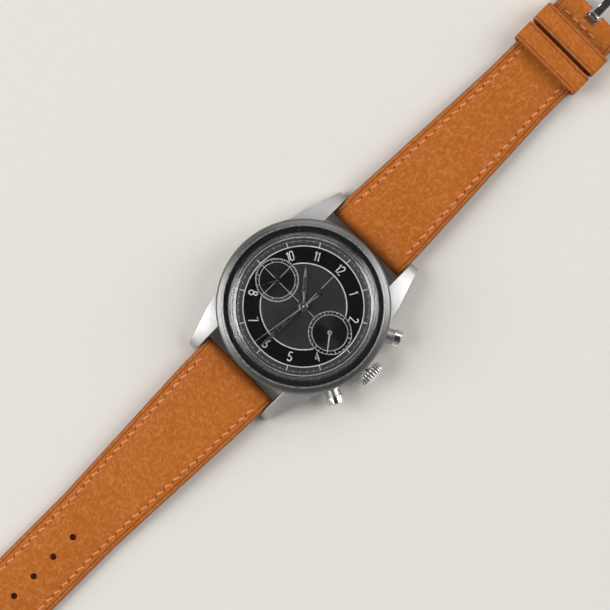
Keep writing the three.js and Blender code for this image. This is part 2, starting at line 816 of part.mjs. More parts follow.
function crownWheelPiece() {
  return gear(crownWheel, WINDING_LEVEL, 0.65);
}

function clickPiece() {
  const body = hull([[0, 0, 0.7], [0.95, -0.5, 0.2]]);
  return plate(body, WINDING_LEVEL, [[0, 0, 0.35]]);
}

add("crown_wheel", "steel", crownWheelPiece(), crownWheel.x, crownWheel.y);
add("transfer_wheel", "steel", gear(transferWheel, WINDING_LEVEL, 0.65), transferWheel.x, transferWheel.y);
add("ratchet_wheel", "steel", gear(ratchetWheel, WINDING_LEVEL, 0.33), barrelX, barrelY);
add("click", "steel", clickPiece(), clickX, clickY);

// ---- Chronograph work ----

function chronographBridge() {
  const feet = [[5.5, -6.5, 0.6], [12.4, -3.2, 0.6]];
  const body = bridge([[0, 0, 1.2], [SUBDIAL_X, 0, 1.2], ...feet], CHRONO_BRIDGE, feet);
  return cut(body, hole(0, 0, JEWEL_R), hole(SUBDIAL_X, 0, JEWEL_R));
}

function chronographWheel() {
  const staff = turned(
    [[0, 1.4], [PIVOT_R, 1.4], [PIVOT_R, 1.66], [0.2, 1.66], [0.2, 9.1], [0, 9.15]],
    6,
  );
  const heart = moved(disc(0.7, [1.68, 2.0], 10), 0.15, 0);
  return join(staff, heart, gear(chronoGear, CHRONO_LEVEL));
}

function counterWheel() {
  const staff = turned(
    [[0, 1.4], [PIVOT_R, 1.4], [PIVOT_R, 1.66], [0.2, 1.66], [0.2, 7.78], [0, 7.78]],
    6,
  );
  const heart = moved(disc(0.7, [1.68, 2.0], 10), 0.15, 0);
  return join(staff, heart, gear(counterGear, CHRONO_LEVEL));
}

add("chronograph_bridge", "nickel", chronographBridge());
add("chronograph_wheel", "gilt", chronographWheel());
add("minute_counter_wheel", "gilt", counterWheel(), SUBDIAL_X);

function couplingLever() {
  const outline = hull([[fourthAt.x, 0, 0.7], [couplingX, couplingY, 0.6]]);
  const tail = hull([[fourthAt.x, 0, 0.5], [-6.6, 6.4, 0.4]]);
  const post = moved(disc(0.28, [1.5, 2.25], 8), couplingX, couplingY);
  const body = join(plate(outline, [1.35, 1.6]), plate(tail, [1.35, 1.6]), post);
  return cut(body, hole(fourthAt.x, 0, JEWEL_R));
}

add("coupling_lever", "steel", couplingLever());
add("coupling_wheel", "gilt", gear(couplingGear, CHRONO_LEVEL, 0.32), couplingX, couplingY);

function columnWheel() {
  const teeth = 12;
  const outline = [];
  for (let i = 0; i < teeth; i += 1) {
    const start = (i * 2 * Math.PI) / teeth;
    outline.push([1.6 * Math.cos(start), 1.6 * Math.sin(start)]);
    const end = start + (0.9 * 2 * Math.PI) / teeth;
    outline.push([1.3 * Math.cos(end), 1.3 * Math.sin(end)]);
  }
  const columns = [];
  for (let i = 0; i < 6; i += 1) {
    const angle = i * 60 * DEG;
    const column = new THREE.BoxGeometry(0.45, 0.4, 0.5).translate(1.0, 0, 2.05);
    columns.push(column.rotateZ(angle));
  }
  return cut(join(plate(outline, LEVER_LEVEL), ...columns), disc(0.45, [0, 5], 12));
}

add("column_wheel", "steel", columnWheel(), columnX, columnY);

// The tab that a pusher presses stands up beside the inner end of the pusher.
function pusherTab(side) {
  const reach = 14.75;
  const tab = new THREE.BoxGeometry(0.5, 1.0, 3.1).translate(reach, 0, LEVER_LEVEL[0] + 1.55);
  return tab.rotateZ(side * PUSHER_ANGLE * DEG);
}

function operatingLever() {
  const reach = 14.75;
  const tabX = reach * Math.cos(PUSHER_ANGLE * DEG);
  const tabY = reach * Math.sin(PUSHER_ANGLE * DEG);
  const arm = hull([[operatingX, operatingY, 0.6], [tabX, tabY, 0.25]]);
  const hook = hull([[tabX - 0.4, tabY, 0.3], [columnX + 2.2, columnY - 1.0, 0.2]]);
  const body = join(plate(arm, LEVER_LEVEL), plate(hook, LEVER_LEVEL), pusherTab(1));
  return cut(body, hole(operatingX, operatingY, 0.35));
}

function resetHammer() {
  const reach = 14.75;
  const tabX = reach * Math.cos(PUSHER_ANGLE * DEG);
  const tabY = -reach * Math.sin(PUSHER_ANGLE * DEG);
  const stem = hull([[hammerX, hammerY, 0.7], [4.6, -1.7, 0.35]]);
  const bar = hull([[2.5, -1.7, 0.2], [10.6, -1.7, 0.2]]);
  const faces = [2.5, 10.6].map((x) => plate(hull([[x, -1.7, 0.2], [x, 0.3, 0.18]]), LEVER_LEVEL));
  const arm = hull([[hammerX, hammerY, 0.6], [tabX, tabY, 0.25]]);
  const body = join(plate(stem, LEVER_LEVEL), plate(bar, LEVER_LEVEL), ...faces);
  const whole = join(body, plate(arm, LEVER_LEVEL), pusherTab(-1));
  return cut(whole, hole(hammerX, hammerY, 0.35));
}

add("operating_lever", "steel", operatingLever());
add("reset_hammer", "steel", resetHammer());

// ---- Strap ----

function strapPlan(end, tip) {
  const half = [[STRAP_LUG_HALF, 18.5], [STRAP_LUG_HALF, 25], [STRAP_END_HALF, STRAP_TAPER_END]];
  half.push(...tip, [0, end]);
  const left = half.map(([x, y]) => [-x, y]).reverse().slice(1);
  return [...half, ...left];
}

function foldAround(y, z, radius, from, sweep) {
  return circlePoints(y, z, radius, 8, from, sweep);
}

function strapBuckleSide() {
  const end = BUCKLE_BAR_Y + 1.2;
  const side = [
    ...foldAround(LUG_BAR_Y, LUG_BAR_Z, 1.95, 270, -180),
    [30, 4.75],
    [50, 3.9],
    [STRAP_TAPER_END, 3.2],
    ...foldAround(BUCKLE_BAR_Y, BUCKLE_BAR_Z, 1.15, 90, -180),
    [32, 0.85],
  ];
  const plan = strapPlan(end, [[STRAP_END_HALF, end]]);
  const body = common(plate(plan, [-1, 7]), alongX(side, [-12, 12]));
  const slot = new THREE.BoxGeometry(2.8, 4.8, 6).translate(0, BUCKLE_BAR_Y + 0.5, BUCKLE_BAR_Z);
  return cut(
    body,
    rodAlongX(0.8, [-12, 12], LUG_BAR_Y, LUG_BAR_Z, 16),
    rodAlongX(0.8, [-12, 12], BUCKLE_BAR_Y, BUCKLE_BAR_Z, 16),
    slot,
  );
}

function strapTailSide() {
  const side = [
    ...foldAround(LUG_BAR_Y, LUG_BAR_Z, 1.95, 270, -180),
    [30, 4.6],
    [50, 3.5],
    [STRAP_TAPER_END, 2.4],
    [TAIL_TIP_Y - 8, 2.2],
    [TAIL_TIP_Y, 1.9],
    [TAIL_TIP_Y, 0],
    [35, 0],
    [24, 0.95],
  ];
  const tip = [[STRAP_END_HALF, 123], [7.4, 127], [5.6, 130.2], [3.0, 132.3]];
  const plan = strapPlan(TAIL_TIP_Y, tip);
  const body = common(plate(plan, [-1, 7]), alongX(side, [-12, 12]));
  const holes = [];
  for (let i = 0; i < HOLE_COUNT; i += 1) {
    holes.push(moved(disc(HOLE_R, [-1, 6], 10), 0, HOLE_FIRST_Y + i * HOLE_PITCH));
  }
  const whole = cut(body, rodAlongX(0.8, [-12, 12], LUG_BAR_Y, LUG_BAR_Z, 16), ...holes);
  return whole.rotateZ(Math.PI);
}

// A keeper is a loop of leather around the strap, tall enough for the tail to pass as well.
function keeper(y) {
  const outerHalf = 9.05;
  const innerHalf = 8.15;
  const outline = (half, low, high, corner) => [
    [-half + corner, low],
    [half - corner, low],
    [half, low + corner],
    [half, high - corner],
    [half - corner, high],
    [-half + corner, high],
    [-half, high - corner],
    [-half, low + corner],
  ];
  const outer = plate(outline(outerHalf, 0, 6.1, 0.7), [0, KEEPER_WIDTH]);
  const inner = plate(outline(innerHalf, 0.78, 5.3, 0.1), [-1, KEEPER_WIDTH + 1]);
  const loop = cut(outer, inner);
  return loop.rotateX(Math.PI / 2).translate(0, y + KEEPER_WIDTH / 2, 0);
}

add("strap_buckle_side", "leather", strapBuckleSide());
add("strap_tail_side", "leather", strapTailSide());
add("keeper_fixed", "leather", keeper(KEEPER_FIXED_Y));
add("keeper_free", "leather", keeper(KEEPER_FREE_Y));

// ---- Buckle ----

const BUCKLE_LEVEL = [0.95, 3.05];
const BUCKLE_INNER_HALF = 8.5;
const BUCKLE_OUTER_HALF = 10.4;
const BUCKLE_FAR_Y = 101.4;

function buckleFrame() {
  const outer = [[-BUCKLE_OUTER_HALF, 88.3], [-BUCKLE_OUTER_HALF, 99.6], [-8.8, BUCKLE_FAR_Y]];
  outer.push([8.8, BUCKLE_FAR_Y], [BUCKLE_OUTER_HALF, 99.6], [BUCKLE_OUTER_HALF, 88.3]);
  outer.push([BUCKLE_INNER_HALF, 88.3], [BUCKLE_INNER_HALF, 98.6], [7.9, 99.2]);
  outer.push([-7.9, 99.2], [-BUCKLE_INNER_HALF, 98.6], [-BUCKLE_INNER_HALF, 88.3]);
  const bores = rodAlongX(0.46, [-9.9, 9.9], BUCKLE_BAR_Y, BUCKLE_BAR_Z, 12);
  return cut(plate(outer, BUCKLE_LEVEL), bores);
}

function buckleTongue() {
  const loop = rodAlongX(1.25, [-1.1, 1.1], BUCKLE_BAR_Y, BUCKLE_BAR_Z, 20);
  const side = [[89.5, 2.5], [90.5, 2.5], [93, 3.12], [101.6, 3.12], [102.0, 3.4], [101.4, 3.75]];
  side.push([93, 3.8], [89.5, 3.24]);
  const blade = alongX(side, [-1.0, 1.0]);
  return cut(join(loop, blade), rodAlongX(0.81, [-3, 3], BUCKLE_BAR_Y, BUCKLE_BAR_Z, 16));
}

add("buckle_frame", "polished", buckleFrame());
add("buckle_tongue", "polished", buckleTongue());
add("buckle_spring_bar", "steel", springBar(8.35, 9.8, BUCKLE_BAR_Y, BUCKLE_BAR_Z));

export default watch;
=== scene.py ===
"""Looks of a hand-wound wrist chronograph on a leather strap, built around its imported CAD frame.

Row frame: +Z out of the dial, +Y to 12 o'clock, +X to 3 o'clock, with the case back on z = 0.
Shapes are written in millimetres, and piece() turns them into metres.
"""

import math
import random

import bpy
import numpy as np
from mathutils import Matrix, Vector


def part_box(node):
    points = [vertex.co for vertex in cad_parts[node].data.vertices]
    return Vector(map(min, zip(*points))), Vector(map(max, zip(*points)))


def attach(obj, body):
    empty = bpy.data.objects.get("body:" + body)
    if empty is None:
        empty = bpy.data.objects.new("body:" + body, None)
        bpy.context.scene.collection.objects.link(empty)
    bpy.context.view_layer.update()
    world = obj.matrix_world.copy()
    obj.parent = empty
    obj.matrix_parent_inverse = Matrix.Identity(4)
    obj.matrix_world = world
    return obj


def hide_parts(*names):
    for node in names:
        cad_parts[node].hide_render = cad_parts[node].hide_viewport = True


MM = 0.001
TAU = 2 * math.pi
SEED = 7
# Material slots that many pieces share
STEEL, DIAL, LEATHER = "polished_steel", "black_dial", "tan_leather"

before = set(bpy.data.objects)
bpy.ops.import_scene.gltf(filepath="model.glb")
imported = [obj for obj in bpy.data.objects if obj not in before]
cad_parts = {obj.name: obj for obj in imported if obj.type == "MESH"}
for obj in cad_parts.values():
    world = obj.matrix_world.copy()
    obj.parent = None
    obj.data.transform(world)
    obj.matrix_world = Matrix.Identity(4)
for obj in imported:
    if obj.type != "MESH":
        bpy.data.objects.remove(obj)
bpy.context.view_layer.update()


def cad(node):
    """Lowest and highest corner of a CAD node, in millimetres."""
    low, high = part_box(node)
    return np.array(low) / MM, np.array(high) / MM


# ---- Driving dimensions, from the frame where it holds them ----

DIAL_LOW, DIAL_TOP = cad("dial")[0][2], cad("dial")[1][2]
DIAL_RADIUS = cad("dial")[1][0]
BEZEL_LOW, BEZEL_TOP = cad("bezel")[0][2], cad("bezel")[1][2]
BEZEL_RADIUS = cad("bezel")[1][0]
BEZEL_BORE = 17.4
CASE_RADIUS = 18.8
CASE_TOP = 7.4
CASE_LOW = 1.2
CASE_BORE = 15.9
BACK_BORE = 17.0
BACK_SEAT = 1.75
SUBDIAL_X = 8.0
SUBDIAL_R = 4.75
SUBDIAL_FLOOR = DIAL_TOP - 0.15
REGISTER_OUTER = 4.62
REGISTER_INNER = 3.87
POST_HOLE_R, CENTRE_HOLE_R = 0.3, 0.98
STEM_Z = 4.3
CROWN_TUBE_R, PUSHER_TUBE_R, SPRING_BAR_R = 1.5, 2.1, 0.45
PUSHER_ANGLE = math.radians(26)
LUG_INSIDE = 10.0
LUG_BAR_Y, LUG_BAR_Z = 21.0, 3.0

RING_OUTER = 12.96
CHAPTER_OUTER = 14.88
CHAPTER_DROP = 0.2
RING_INNER = 9.3
PRINT = 0.02
NUMERAL_R = 11.12
NUMERAL_HEIGHT = 2.0

HOUR_ANGLE = 318.2
MINUTE_ANGLE = 182.5
SWEEP_ANGLE = 189.2
SMALL_SECONDS_ANGLE = 206.0
COUNTER_ANGLE = 142.7

STRAP_LUG_HALF = 9.85
STRAP_END_HALF = 8.0
STRAP_TAPER_START, STRAP_TAPER_END = 25.0, 66.0
LUG_FOLD_R, BUCKLE_FOLD_R = 1.95, 1.15
STRAP_BORE_R = 0.8
BUCKLE_BAR_Y, BUCKLE_BAR_Z = 89.5, 2.0
HOLE_FIRST_Y, HOLE_PITCH, HOLE_COUNT, HOLE_R = 71.1, 6.05, 7, 0.72
STITCH_PITCH = 2.4
STITCH_INSET = 2.0
STITCH_START = 23.2
CREASE_INSET = 0.87
KEEPER_WIDTH = 5.0

# ---- Mesh helpers ----


def piece(name, points, faces, body, slot, material, replaces=(), at=(0, 0, 0), sharp=38):
    """A smooth-shaded mesh object on a CAD body, with edges sharper than `sharp` degrees kept."""
    mesh = bpy.data.meshes.new(name)
    mesh.from_pydata((np.asarray(points, float) * MM).tolist(), [], faces)
    mesh.validate()
    obj = bpy.data.objects.new(name, mesh)
    obj.location = Vector(at) * MM
    bpy.context.scene.collection.objects.link(obj)
    mesh.materials.append(material)
    smooth(mesh, sharp)
    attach(obj, body)
    if replaces:
        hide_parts(*replaces)
    return obj


def smooth(mesh, sharp):
    mesh.polygons.foreach_set("use_smooth", [True] * len(mesh.polygons))
    mesh.set_sharp_from_angle(angle=math.radians(sharp))


def tool(points, faces):
    """An object that only cuts another, in millimetres."""
    mesh = bpy.data.meshes.new("tool")
    mesh.from_pydata((np.asarray(points, float) * MM).tolist(), [], faces)
    obj = bpy.data.objects.new("tool", mesh)
    bpy.context.scene.collection.objects.link(obj)
    return obj


def settle(obj):
    """Puts what the object's modifiers make into its own mesh."""
    graph = bpy.context.evaluated_depsgraph_get()
    mesh = bpy.data.meshes.new_from_object(obj.evaluated_get(graph), depsgraph=graph)
    obj.modifiers.clear()
    obj.data = mesh


def combine(obj, cutters, operation="DIFFERENCE", sharp=38):
    for cutter in cutters:
        step = obj.modifiers.new("combine", "BOOLEAN")
        step.operation = operation
        step.solver = "EXACT"
        step.object = cutter
        bpy.context.view_layer.update()
        settle(obj)
        bpy.data.objects.remove(cutter)
    smooth(obj.data, sharp)


def rounded(corners, steps=5):
    """A closed outline from (a, b, radius) corners, each rounded by an arc of that radius."""
    out = []
    count = len(corners)
    for i, (a, b, radius) in enumerate(corners):
        here = np.array([a, b], float)
        if radius <= 0:
            out.append(here)
            continue
        back = np.array(corners[i - 1][:2], float) - here
        ahead = np.array(corners[(i + 1) % count][:2], float) - here
        back_unit = back / np.linalg.norm(back)
        ahead_unit = ahead / np.linalg.norm(ahead)
        half = math.acos(max(-1, min(1, back_unit @ ahead_unit))) / 2
        reach = min(radius / math.tan(half), 0.49 * min(np.linalg.norm(back), np.linalg.norm(ahead)))
        start, end = here + back_unit * reach, here + ahead_unit * reach
        for k in range(steps + 1):
            t = k / steps
            out.append((1 - t) ** 2 * start + 2 * t * (1 - t) * here + t**2 * end)
    return np.array(out)


def through(points, steps=8):
    """A smooth open curve through given points of any width (Catmull-Rom)."""
    p = np.array(points, float)
    p = np.vstack([2 * p[0] - p[1], p, 2 * p[-1] - p[-2]])
    out = []
    for i in range(1, len(p) - 2):
        for k in range(steps):
            t = k / steps
            a, b, c, d = p[i - 1 : i + 3]
            out.append(
                0.5
                * (2 * b + (c - a) * t + (2 * a - 5 * b + 4 * c - d) * t**2)
                + 0.5 * (3 * b - a - 3 * c + d) * t**3
            )
    out.append(p[-2])
    return np.array(out)


def grid_faces(rows, columns, close_rows=False, close_columns=True):
    """Quads of a grid of points, row by row."""
    faces = []
    for i in range(rows if close_rows else rows - 1):
        for j in range(columns if close_columns else columns - 1):
            a = i * columns + j
            b = i * columns + (j + 1) % columns
            c = (i + 1) % rows * columns + (j + 1) % columns
            d = (i + 1) % rows * columns + j
            faces.append((a, b, c, d))
    return faces


def lathe(profile, sides=160):
    """Points and faces of a closed [radius, z] profile turned about Z."""
    profile = np.asarray(profile, float)
    turn = np.arange(sides) * TAU / sides
    points, rings = [], []
    for r, z in profile:
        if r < 1e-6:
            rings.append([len(points)] * sides)
            points.append((0, 0, z))
            continue
        rings.append(list(range(len(points), len(points) + sides)))
        points.extend((r * math.cos(a), r * math.sin(a), z) for a in turn)
    faces = []
    for i in range(len(rings)):
        near, far = rings[i], rings[(i + 1) % len(rings)]
        for j in range(sides):
            k = (j + 1) % sides
            loop = [near[j], near[k], far[k], far[j]]
            kept = list(dict.fromkeys(loop))
            if len(kept) > 2:
                faces.append(tuple(kept))
    return np.array(points), faces


def cylinder(radius, low, high, sides=32):
    return lathe([(0, low), (radius, low), (radius, high), (0, high)], sides)


def laid(part, angle=0.0, y=0.0, z=0.0):
    """A part turned about Z becomes a part turned about a level axis at an angle from +X."""
    points, faces = part
    along, across, up = points[:, 2], points[:, 1], points[:, 0]
    c, s = math.cos(angle), math.sin(angle)
    return np.column_stack([along * c - across * s, along * s + across * c + y, z - up]), faces


def prism(outline, low, high):
    """Points and faces of a flat plate between two levels, from an outline of (x, y)."""
    n = len(outline)
    points = [(x, y, z) for z in (low, high) for x, y in outline]
    faces = [tuple(reversed(range(n))), tuple(range(n, 2 * n))]
    faces += [(i, (i + 1) % n, n + (i + 1) % n, n + i) for i in range(n)]
    return np.array(points), faces


def loft(sections):
    """Points and faces of a run of closed sections with the same number of points, capped."""
    rows, columns = len(sections), len(sections[0])
    points = np.concatenate([np.asarray(s, float) for s in sections])
    faces = grid_faces(rows, columns)
    faces.append(tuple(reversed(range(columns))))
    faces.append(tuple(range((rows - 1) * columns, rows * columns)))
    return points, faces


def merged(*parts):
    """Several (points, faces) as one."""
    points, faces = [], []
    for p, f in parts:
        start = sum(len(x) for x in points)
        points.append(np.asarray(p, float))
        faces.extend(tuple(i + start for i in face) for face in f)
    return np.concatenate(points), faces


def spun(part, degrees):
    """A part turned clockwise about Z, as a hand is."""
    points, faces = part
    c, s = math.cos(math.radians(-degrees)), math.sin(math.radians(-degrees))
    x, y, z = np.asarray(points, float).T
    return np.column_stack([x * c - y * s, x * s + y * c, z]), faces


def shifted(part, x=0.0, y=0.0, z=0.0):
    points, faces = part
    return np.asarray(points, float) + [x, y, z], faces


def ribbon(path, width, low, high, closed=False):
    """A flat strip of a given width along an (x, y) path, as printed paint is."""
    p = np.asarray(path, float)
    if closed:
        ahead, back = np.roll(p, -1, 0), np.roll(p, 1, 0)
    else:
        ahead, back = np.vstack([p[1:], p[-1:]]), np.vstack([p[:1], p[:-1]])
    along = ahead - back
    along /= np.linalg.norm(along, axis=1)[:, None]
    side = np.column_stack([-along[:, 1], along[:, 0]]) * width / 2
    rows = []
    for q, s in zip(p, side):
        a, b = q + s, q - s
        rows.append([(*a, low), (*b, low), (*b, high), (*a, high)])
    points = np.array(rows).reshape(-1, 3)
    faces = grid_faces(len(rows), 4, close_rows=closed)
    if not closed:
        faces += [(3, 2, 1, 0), tuple(range(len(points) - 4, len(points)))]
    return points, faces


def arc(x, y, radius, start, end, steps):
    """Points on an arc, with angles in degrees from +X."""
    angles = np.radians(np.linspace(start, end, steps))
    return np.column_stack([x + radius * np.cos(angles), y + radius * np.sin(angles)])


def mark(obj, name, values):
    """A value per point of the mesh, for its material."""
    attribute = obj.data.attributes.new(name, "FLOAT", "POINT")
    attribute.data.foreach_set("value", np.asarray(values, np.float32))


# ---- Material helpers ----


class Paint:
    """A material with one Principled shader and short ways to add nodes that feed it."""

    def __init__(self, name, **settings):
        self.material = bpy.data.materials.new(name)
        self.material.use_nodes = True
        self.tree = self.material.node_tree
        self.shader = self.tree.nodes["Principled BSDF"]
        for key, value in settings.items():
            self.shader.inputs[key.replace("_", " ")].default_value = value

    def add(self, kind, inputs=(), **settings):
        node = self.tree.nodes.new(kind)
        for key, value in settings.items():
            setattr(node, key, value)
        for key, value in dict(inputs).items():
            self.put(node.inputs[key], value)
        return node

    def put(self, socket, value):
        if isinstance(value, bpy.types.NodeSocket):
            self.tree.links.new(value, socket)
        else:
            socket.default_value = value

    def place(self, scale=1, turn=0.0):
        """Object coordinates in millimetres, turned about Z, times one scale or one for each axis."""
        source = self.add("ShaderNodeTexCoord").outputs["Object"]
        if turn:
            source = self.add("ShaderNodeMapping", {"Vector": source, "Rotation": (0, 0, turn)}).outputs[0]
        axes = scale if isinstance(scale, tuple) else (scale,) * 3
        factors = tuple(s / MM for s in axes)
        return self.add("ShaderNodeMapping", {"Vector": source, "Scale": factors}).outputs[0]

    def over(self, where):
        """A vector socket as it is, or place() at a scale."""
        return where if isinstance(where, bpy.types.NodeSocket) else self.place(where)

    def math(self, operation, a, b=0.0, c=0.0, clamp=False):
        node = self.add("ShaderNodeMath", operation=operation, use_clamp=clamp)
        for socket, value in zip(node.inputs, (a, b, c)):
            self.put(socket, value)
        return node.outputs[0]

    def noise(self, where, detail=4, rough=0.6, warp=0.0):
        inputs = {"Vector": self.over(where), "Scale": 1.0, "Detail": detail, "Roughness": rough}
        return self.add("ShaderNodeTexNoise", {**inputs, "Distortion": warp}).outputs[0]

    def cells(self, where, scale=1.0, feature="F1", spread=1.0):
        inputs = {"Vector": self.over(where), "Scale": scale, "Randomness": spread}
        return self.add("ShaderNodeTexVoronoi", inputs, feature=feature).outputs["Distance"]

    def dots(self, where, low, high, strength=1.0):
        """1 in small spots around scattered points, and 0 elsewhere."""
        return self.range(self.cells(where), low, high, strength, 0.0)

    def range(self, value, low, high, to_low=0.0, to_high=1.0, kind="SMOOTHSTEP"):
        inputs = {"Value": value, "From Min": low, "From Max": high, "To Min": to_low, "To Max": to_high}
        return self.add("ShaderNodeMapRange", inputs, interpolation_type=kind).outputs[0]

    def mix(self, share, a, b):
        node = self.add("ShaderNodeMix", data_type="RGBA")
        self.put(node.inputs["Factor"], share)
        self.put(node.inputs[6], a)
        self.put(node.inputs[7], b)
        return node.outputs[2]

    def bump(self, height, strength, depth, normal=None):
        """Relief of a given depth in millimetres."""
        inputs = {"Height": height, "Strength": strength, "Distance": depth * MM}
        if normal is not None:
            inputs["Normal"] = normal
        return self.add("ShaderNodeBump", inputs).outputs[0]

    def feed(self, **sockets):
        """Links or sets the shader's sockets, and gives the material back."""
        for key, value in sockets.items():
            self.put(self.shader.inputs[key.replace("_", " ")], value)
        return self.material

    def value(self, name):
        """A value that mark() put on the mesh."""
        return self.add("ShaderNodeAttribute", attribute_name=name).outputs["Fac"]

    def polar(self, radial=1.0, around=1.0):
        """Scaled (radius, angle, height) about the object's Z axis as a vector, and the radius."""
        x, y, z = self.add("ShaderNodeSeparateXYZ", {"Vector": self.place()}).outputs[:3]
        squares = self.math("MULTIPLY", x, x), self.math("MULTIPLY", y, y)
        radius = self.math("SQRT", self.math("ADD", *squares))
        angle = self.math("ARCTAN2", y, x)
        across, along = self.math("MULTIPLY", radius, radial), self.math("MULTIPLY", angle, around)
        return self.add("ShaderNodeCombineXYZ", {"X": across, "Y": along, "Z": z}).outputs[0], radius


def scaled(tint, share):
    """A darker or lighter tint."""
    return tuple(min(1.0, c * share) for c in tint[:3]) + (1.0,)


def rgb(r, g, b):
    """A display colour, 0 to 255, as the linear colour that shaders use."""
    linear = [(v / 255 / 12.92) if v <= 10 else ((v / 255 + 0.055) / 1.055) ** 2.4 for v in (r, g, b)]
    return (*linear, 1.0)


# ---- Materials ----


def steel(name, tint, lines, rough=(0.2, 0.36), relief=0.35, depth=0.012):
    """Steel with fine scratches drawn out along one axis, faint stains and a few nicks."""
    paint = Paint(name, Metallic=1.0)
    grain = paint.noise(lines, 5)
    stain = paint.noise(0.2, 3, 0.5)
    nicks = paint.range(paint.cells(0.8), 0.0, 0.06)
    dark = scaled(tint, 0.82)
    tone = paint.mix(paint.range(stain, 0.3, 0.7, 0.4, 1.0), dark, tint)
    tone = paint.mix(paint.range(grain, 0.35, 0.62, 0.35, 1.0), dark, tone)
    return paint.feed(
        Base_Color=tone,
        Roughness=paint.range(grain, 0.35, 0.65, rough[1], rough[0]),
        Normal=paint.bump(paint.math("MULTIPLY", grain, nicks), relief, depth),
    )


def turned_steel(name, tint, rough=(0.22, 0.42), radial=9.0, around=0.5, relief=0.3):
    """Steel brushed in circles about the piece's axis, with the scuffs of wear."""
    paint = Paint(name, Metallic=1.0)
    rings, _ = paint.polar(radial, around)
    grain = paint.noise(rings, 5, 0.62)
    scuffs = paint.noise(2.4, 6, 0.75, 0.3)
    dark = scaled(tint, 0.7)
    tone = paint.mix(paint.range(grain, 0.38, 0.62), dark, tint)
    tone = paint.mix(paint.range(scuffs, 0.6, 0.72, 0.0, 0.35), tone, dark)
    height = paint.math("ADD", grain, paint.math("MULTIPLY", scuffs, 0.2))
    return paint.feed(
        Base_Color=tone,
        Roughness=paint.range(scuffs, 0.4, 0.7, rough[0], rough[1]),
        Normal=paint.bump(height, relief, 0.006),
    )


def polished(name, tint, rough=0.07, scratch=0.12):
    """Polished steel with hairline scratches and faint finger haze."""
    paint = Paint(name, Metallic=1.0, Base_Color=tint)
    hair = paint.noise((0.9, 9.0, 0.9), 3, 0.7, 1.2)
    haze = paint.noise(0.7, 3, 0.5)
    dark = scaled(tint, 0.9)
    return paint.feed(
        Base_Color=paint.mix(haze, dark, tint),
        Roughness=paint.range(haze, 0.35, 0.75, rough, rough * 2.2),
        Normal=paint.bump(hair, scratch, 0.006),
    )


def grooved_steel(name, tint):
    """Polished steel painted near black in its grooves: painted shade in the flutes."""
    paint = Paint(name)
    haze = paint.noise(0.9, 3, 0.5)
    flute_shade = paint.value("flute_shade")
    return paint.feed(
        Base_Color=paint.mix(flute_shade, tint, (0.02, 0.019, 0.018, 1)),
        Metallic=paint.range(flute_shade, 0.2, 0.9, 1.0, 0.3),
        Roughness=paint.range(haze, 0.35, 0.75, 0.16, 0.28),
    )


def brass(name, tint):
    """Gilded brass of the wheels, brushed in circles."""
    return turned_steel(name, tint, (0.2, 0.34), 12.0, 0.4, 0.25)


def pearled(name, tint):
    """Nickel plates with overlapping round grained spots."""
    paint = Paint(name, Metallic=1.0)
    spots = paint.cells(0.8, spread=0.15)
    arcs = paint.math("SINE", paint.math("MULTIPLY", spots, 60.0))
    dark = scaled(tint, 0.7)
    return paint.feed(
        Base_Color=paint.mix(paint.range(arcs, -1, 1), dark, tint),
        Roughness=paint.range(spots, 0.0, 0.7, 0.22, 0.4),
        Normal=paint.bump(arcs, 0.3, 0.01),
    )


def dial_enamel(name):
    """Aged black dial: matte textured middle and glossy hour band."""
    paint = Paint(name, Specular_IOR_Level=0.3)
    _, radius = paint.polar()
    middle = paint.range(radius, RING_INNER - 0.03, RING_INNER + 0.03, 1.0, 0.0)
    grit = paint.noise(4.5, 4, 0.75)
    age = paint.noise(0.5, 4, 0.6, 0.5)
    specks = paint.dots(1.5, 0.02, 0.07)
    gloss = paint.mix(age, rgb(5, 5, 6), rgb(9, 9, 10))
    matte = paint.mix(paint.range(grit, 0.35, 0.65), rgb(9, 9, 9), rgb(30, 30, 29))
    tone = paint.mix(middle, gloss, matte)
    tone = paint.mix(paint.math("MULTIPLY", specks, 0.25), tone, rgb(120, 118, 110))
    relief = paint.math("MULTIPLY", grit, paint.math("ADD", middle, 0.06))
    return paint.feed(
        Base_Color=tone,
        Roughness=paint.math("MULTIPLY_ADD", middle, 0.34, 0.14),
        Normal=paint.bump(relief, 0.5, 0.02),
    )


def chapter_grey(name):
    """The dial's sloped minute track: dark grey satin that picks up the side lights. The slight blue in its
    greys is a painted cool reflection.
    """
    paint = Paint(name, Metallic=0.35)
    rings, _ = paint.polar(6.0, 0.5)
    grain = paint.noise(rings, 3)
    haze = paint.noise(0.35, 3, 0.5)
    tone = paint.mix(paint.range(grain, 0.3, 0.7), rgb(38, 38, 42), rgb(56, 56, 61))
    return paint.feed(
        Base_Color=paint.mix(paint.range(haze, 0.3, 0.7, 0.0, 0.35), tone, rgb(28, 28, 31)),
        Roughness=paint.range(grain, 0.3, 0.7, 0.34, 0.44),
        Normal=paint.bump(grain, 0.15, 0.006),
    )


def grooved_black(name):
    """Black lacquer over the turned rings of a register."""
    paint = Paint(name, Metallic=0.75, Anisotropic=0.9, Roughness=0.34)
    rings, radius = paint.polar(10.0, 0.2)
    grain = paint.noise(rings, 3)
    return paint.feed(
        Base_Color=paint.mix(grain, rgb(12, 12, 13), rgb(34, 34, 36)),
        Normal=paint.bump(paint.math("SINE", paint.math("MULTIPLY", radius, TAU / 0.13)), 0.25, 0.01),
        Tangent=paint.add("ShaderNodeTangent", direction_type="RADIAL", axis="Z").outputs[0],
    )


def print_paint(name, light, worn):
    """Dial print, slightly patchy with age."""
    paint = Paint(name, Roughness=0.5)
    patch = paint.noise(3, 4, 0.65)
    tone = paint.mix(paint.range(patch, 0.3, 0.6), worn, light)
    return paint.feed(Base_Color=tone, Normal=paint.bump(patch, 0.2, 0.01))


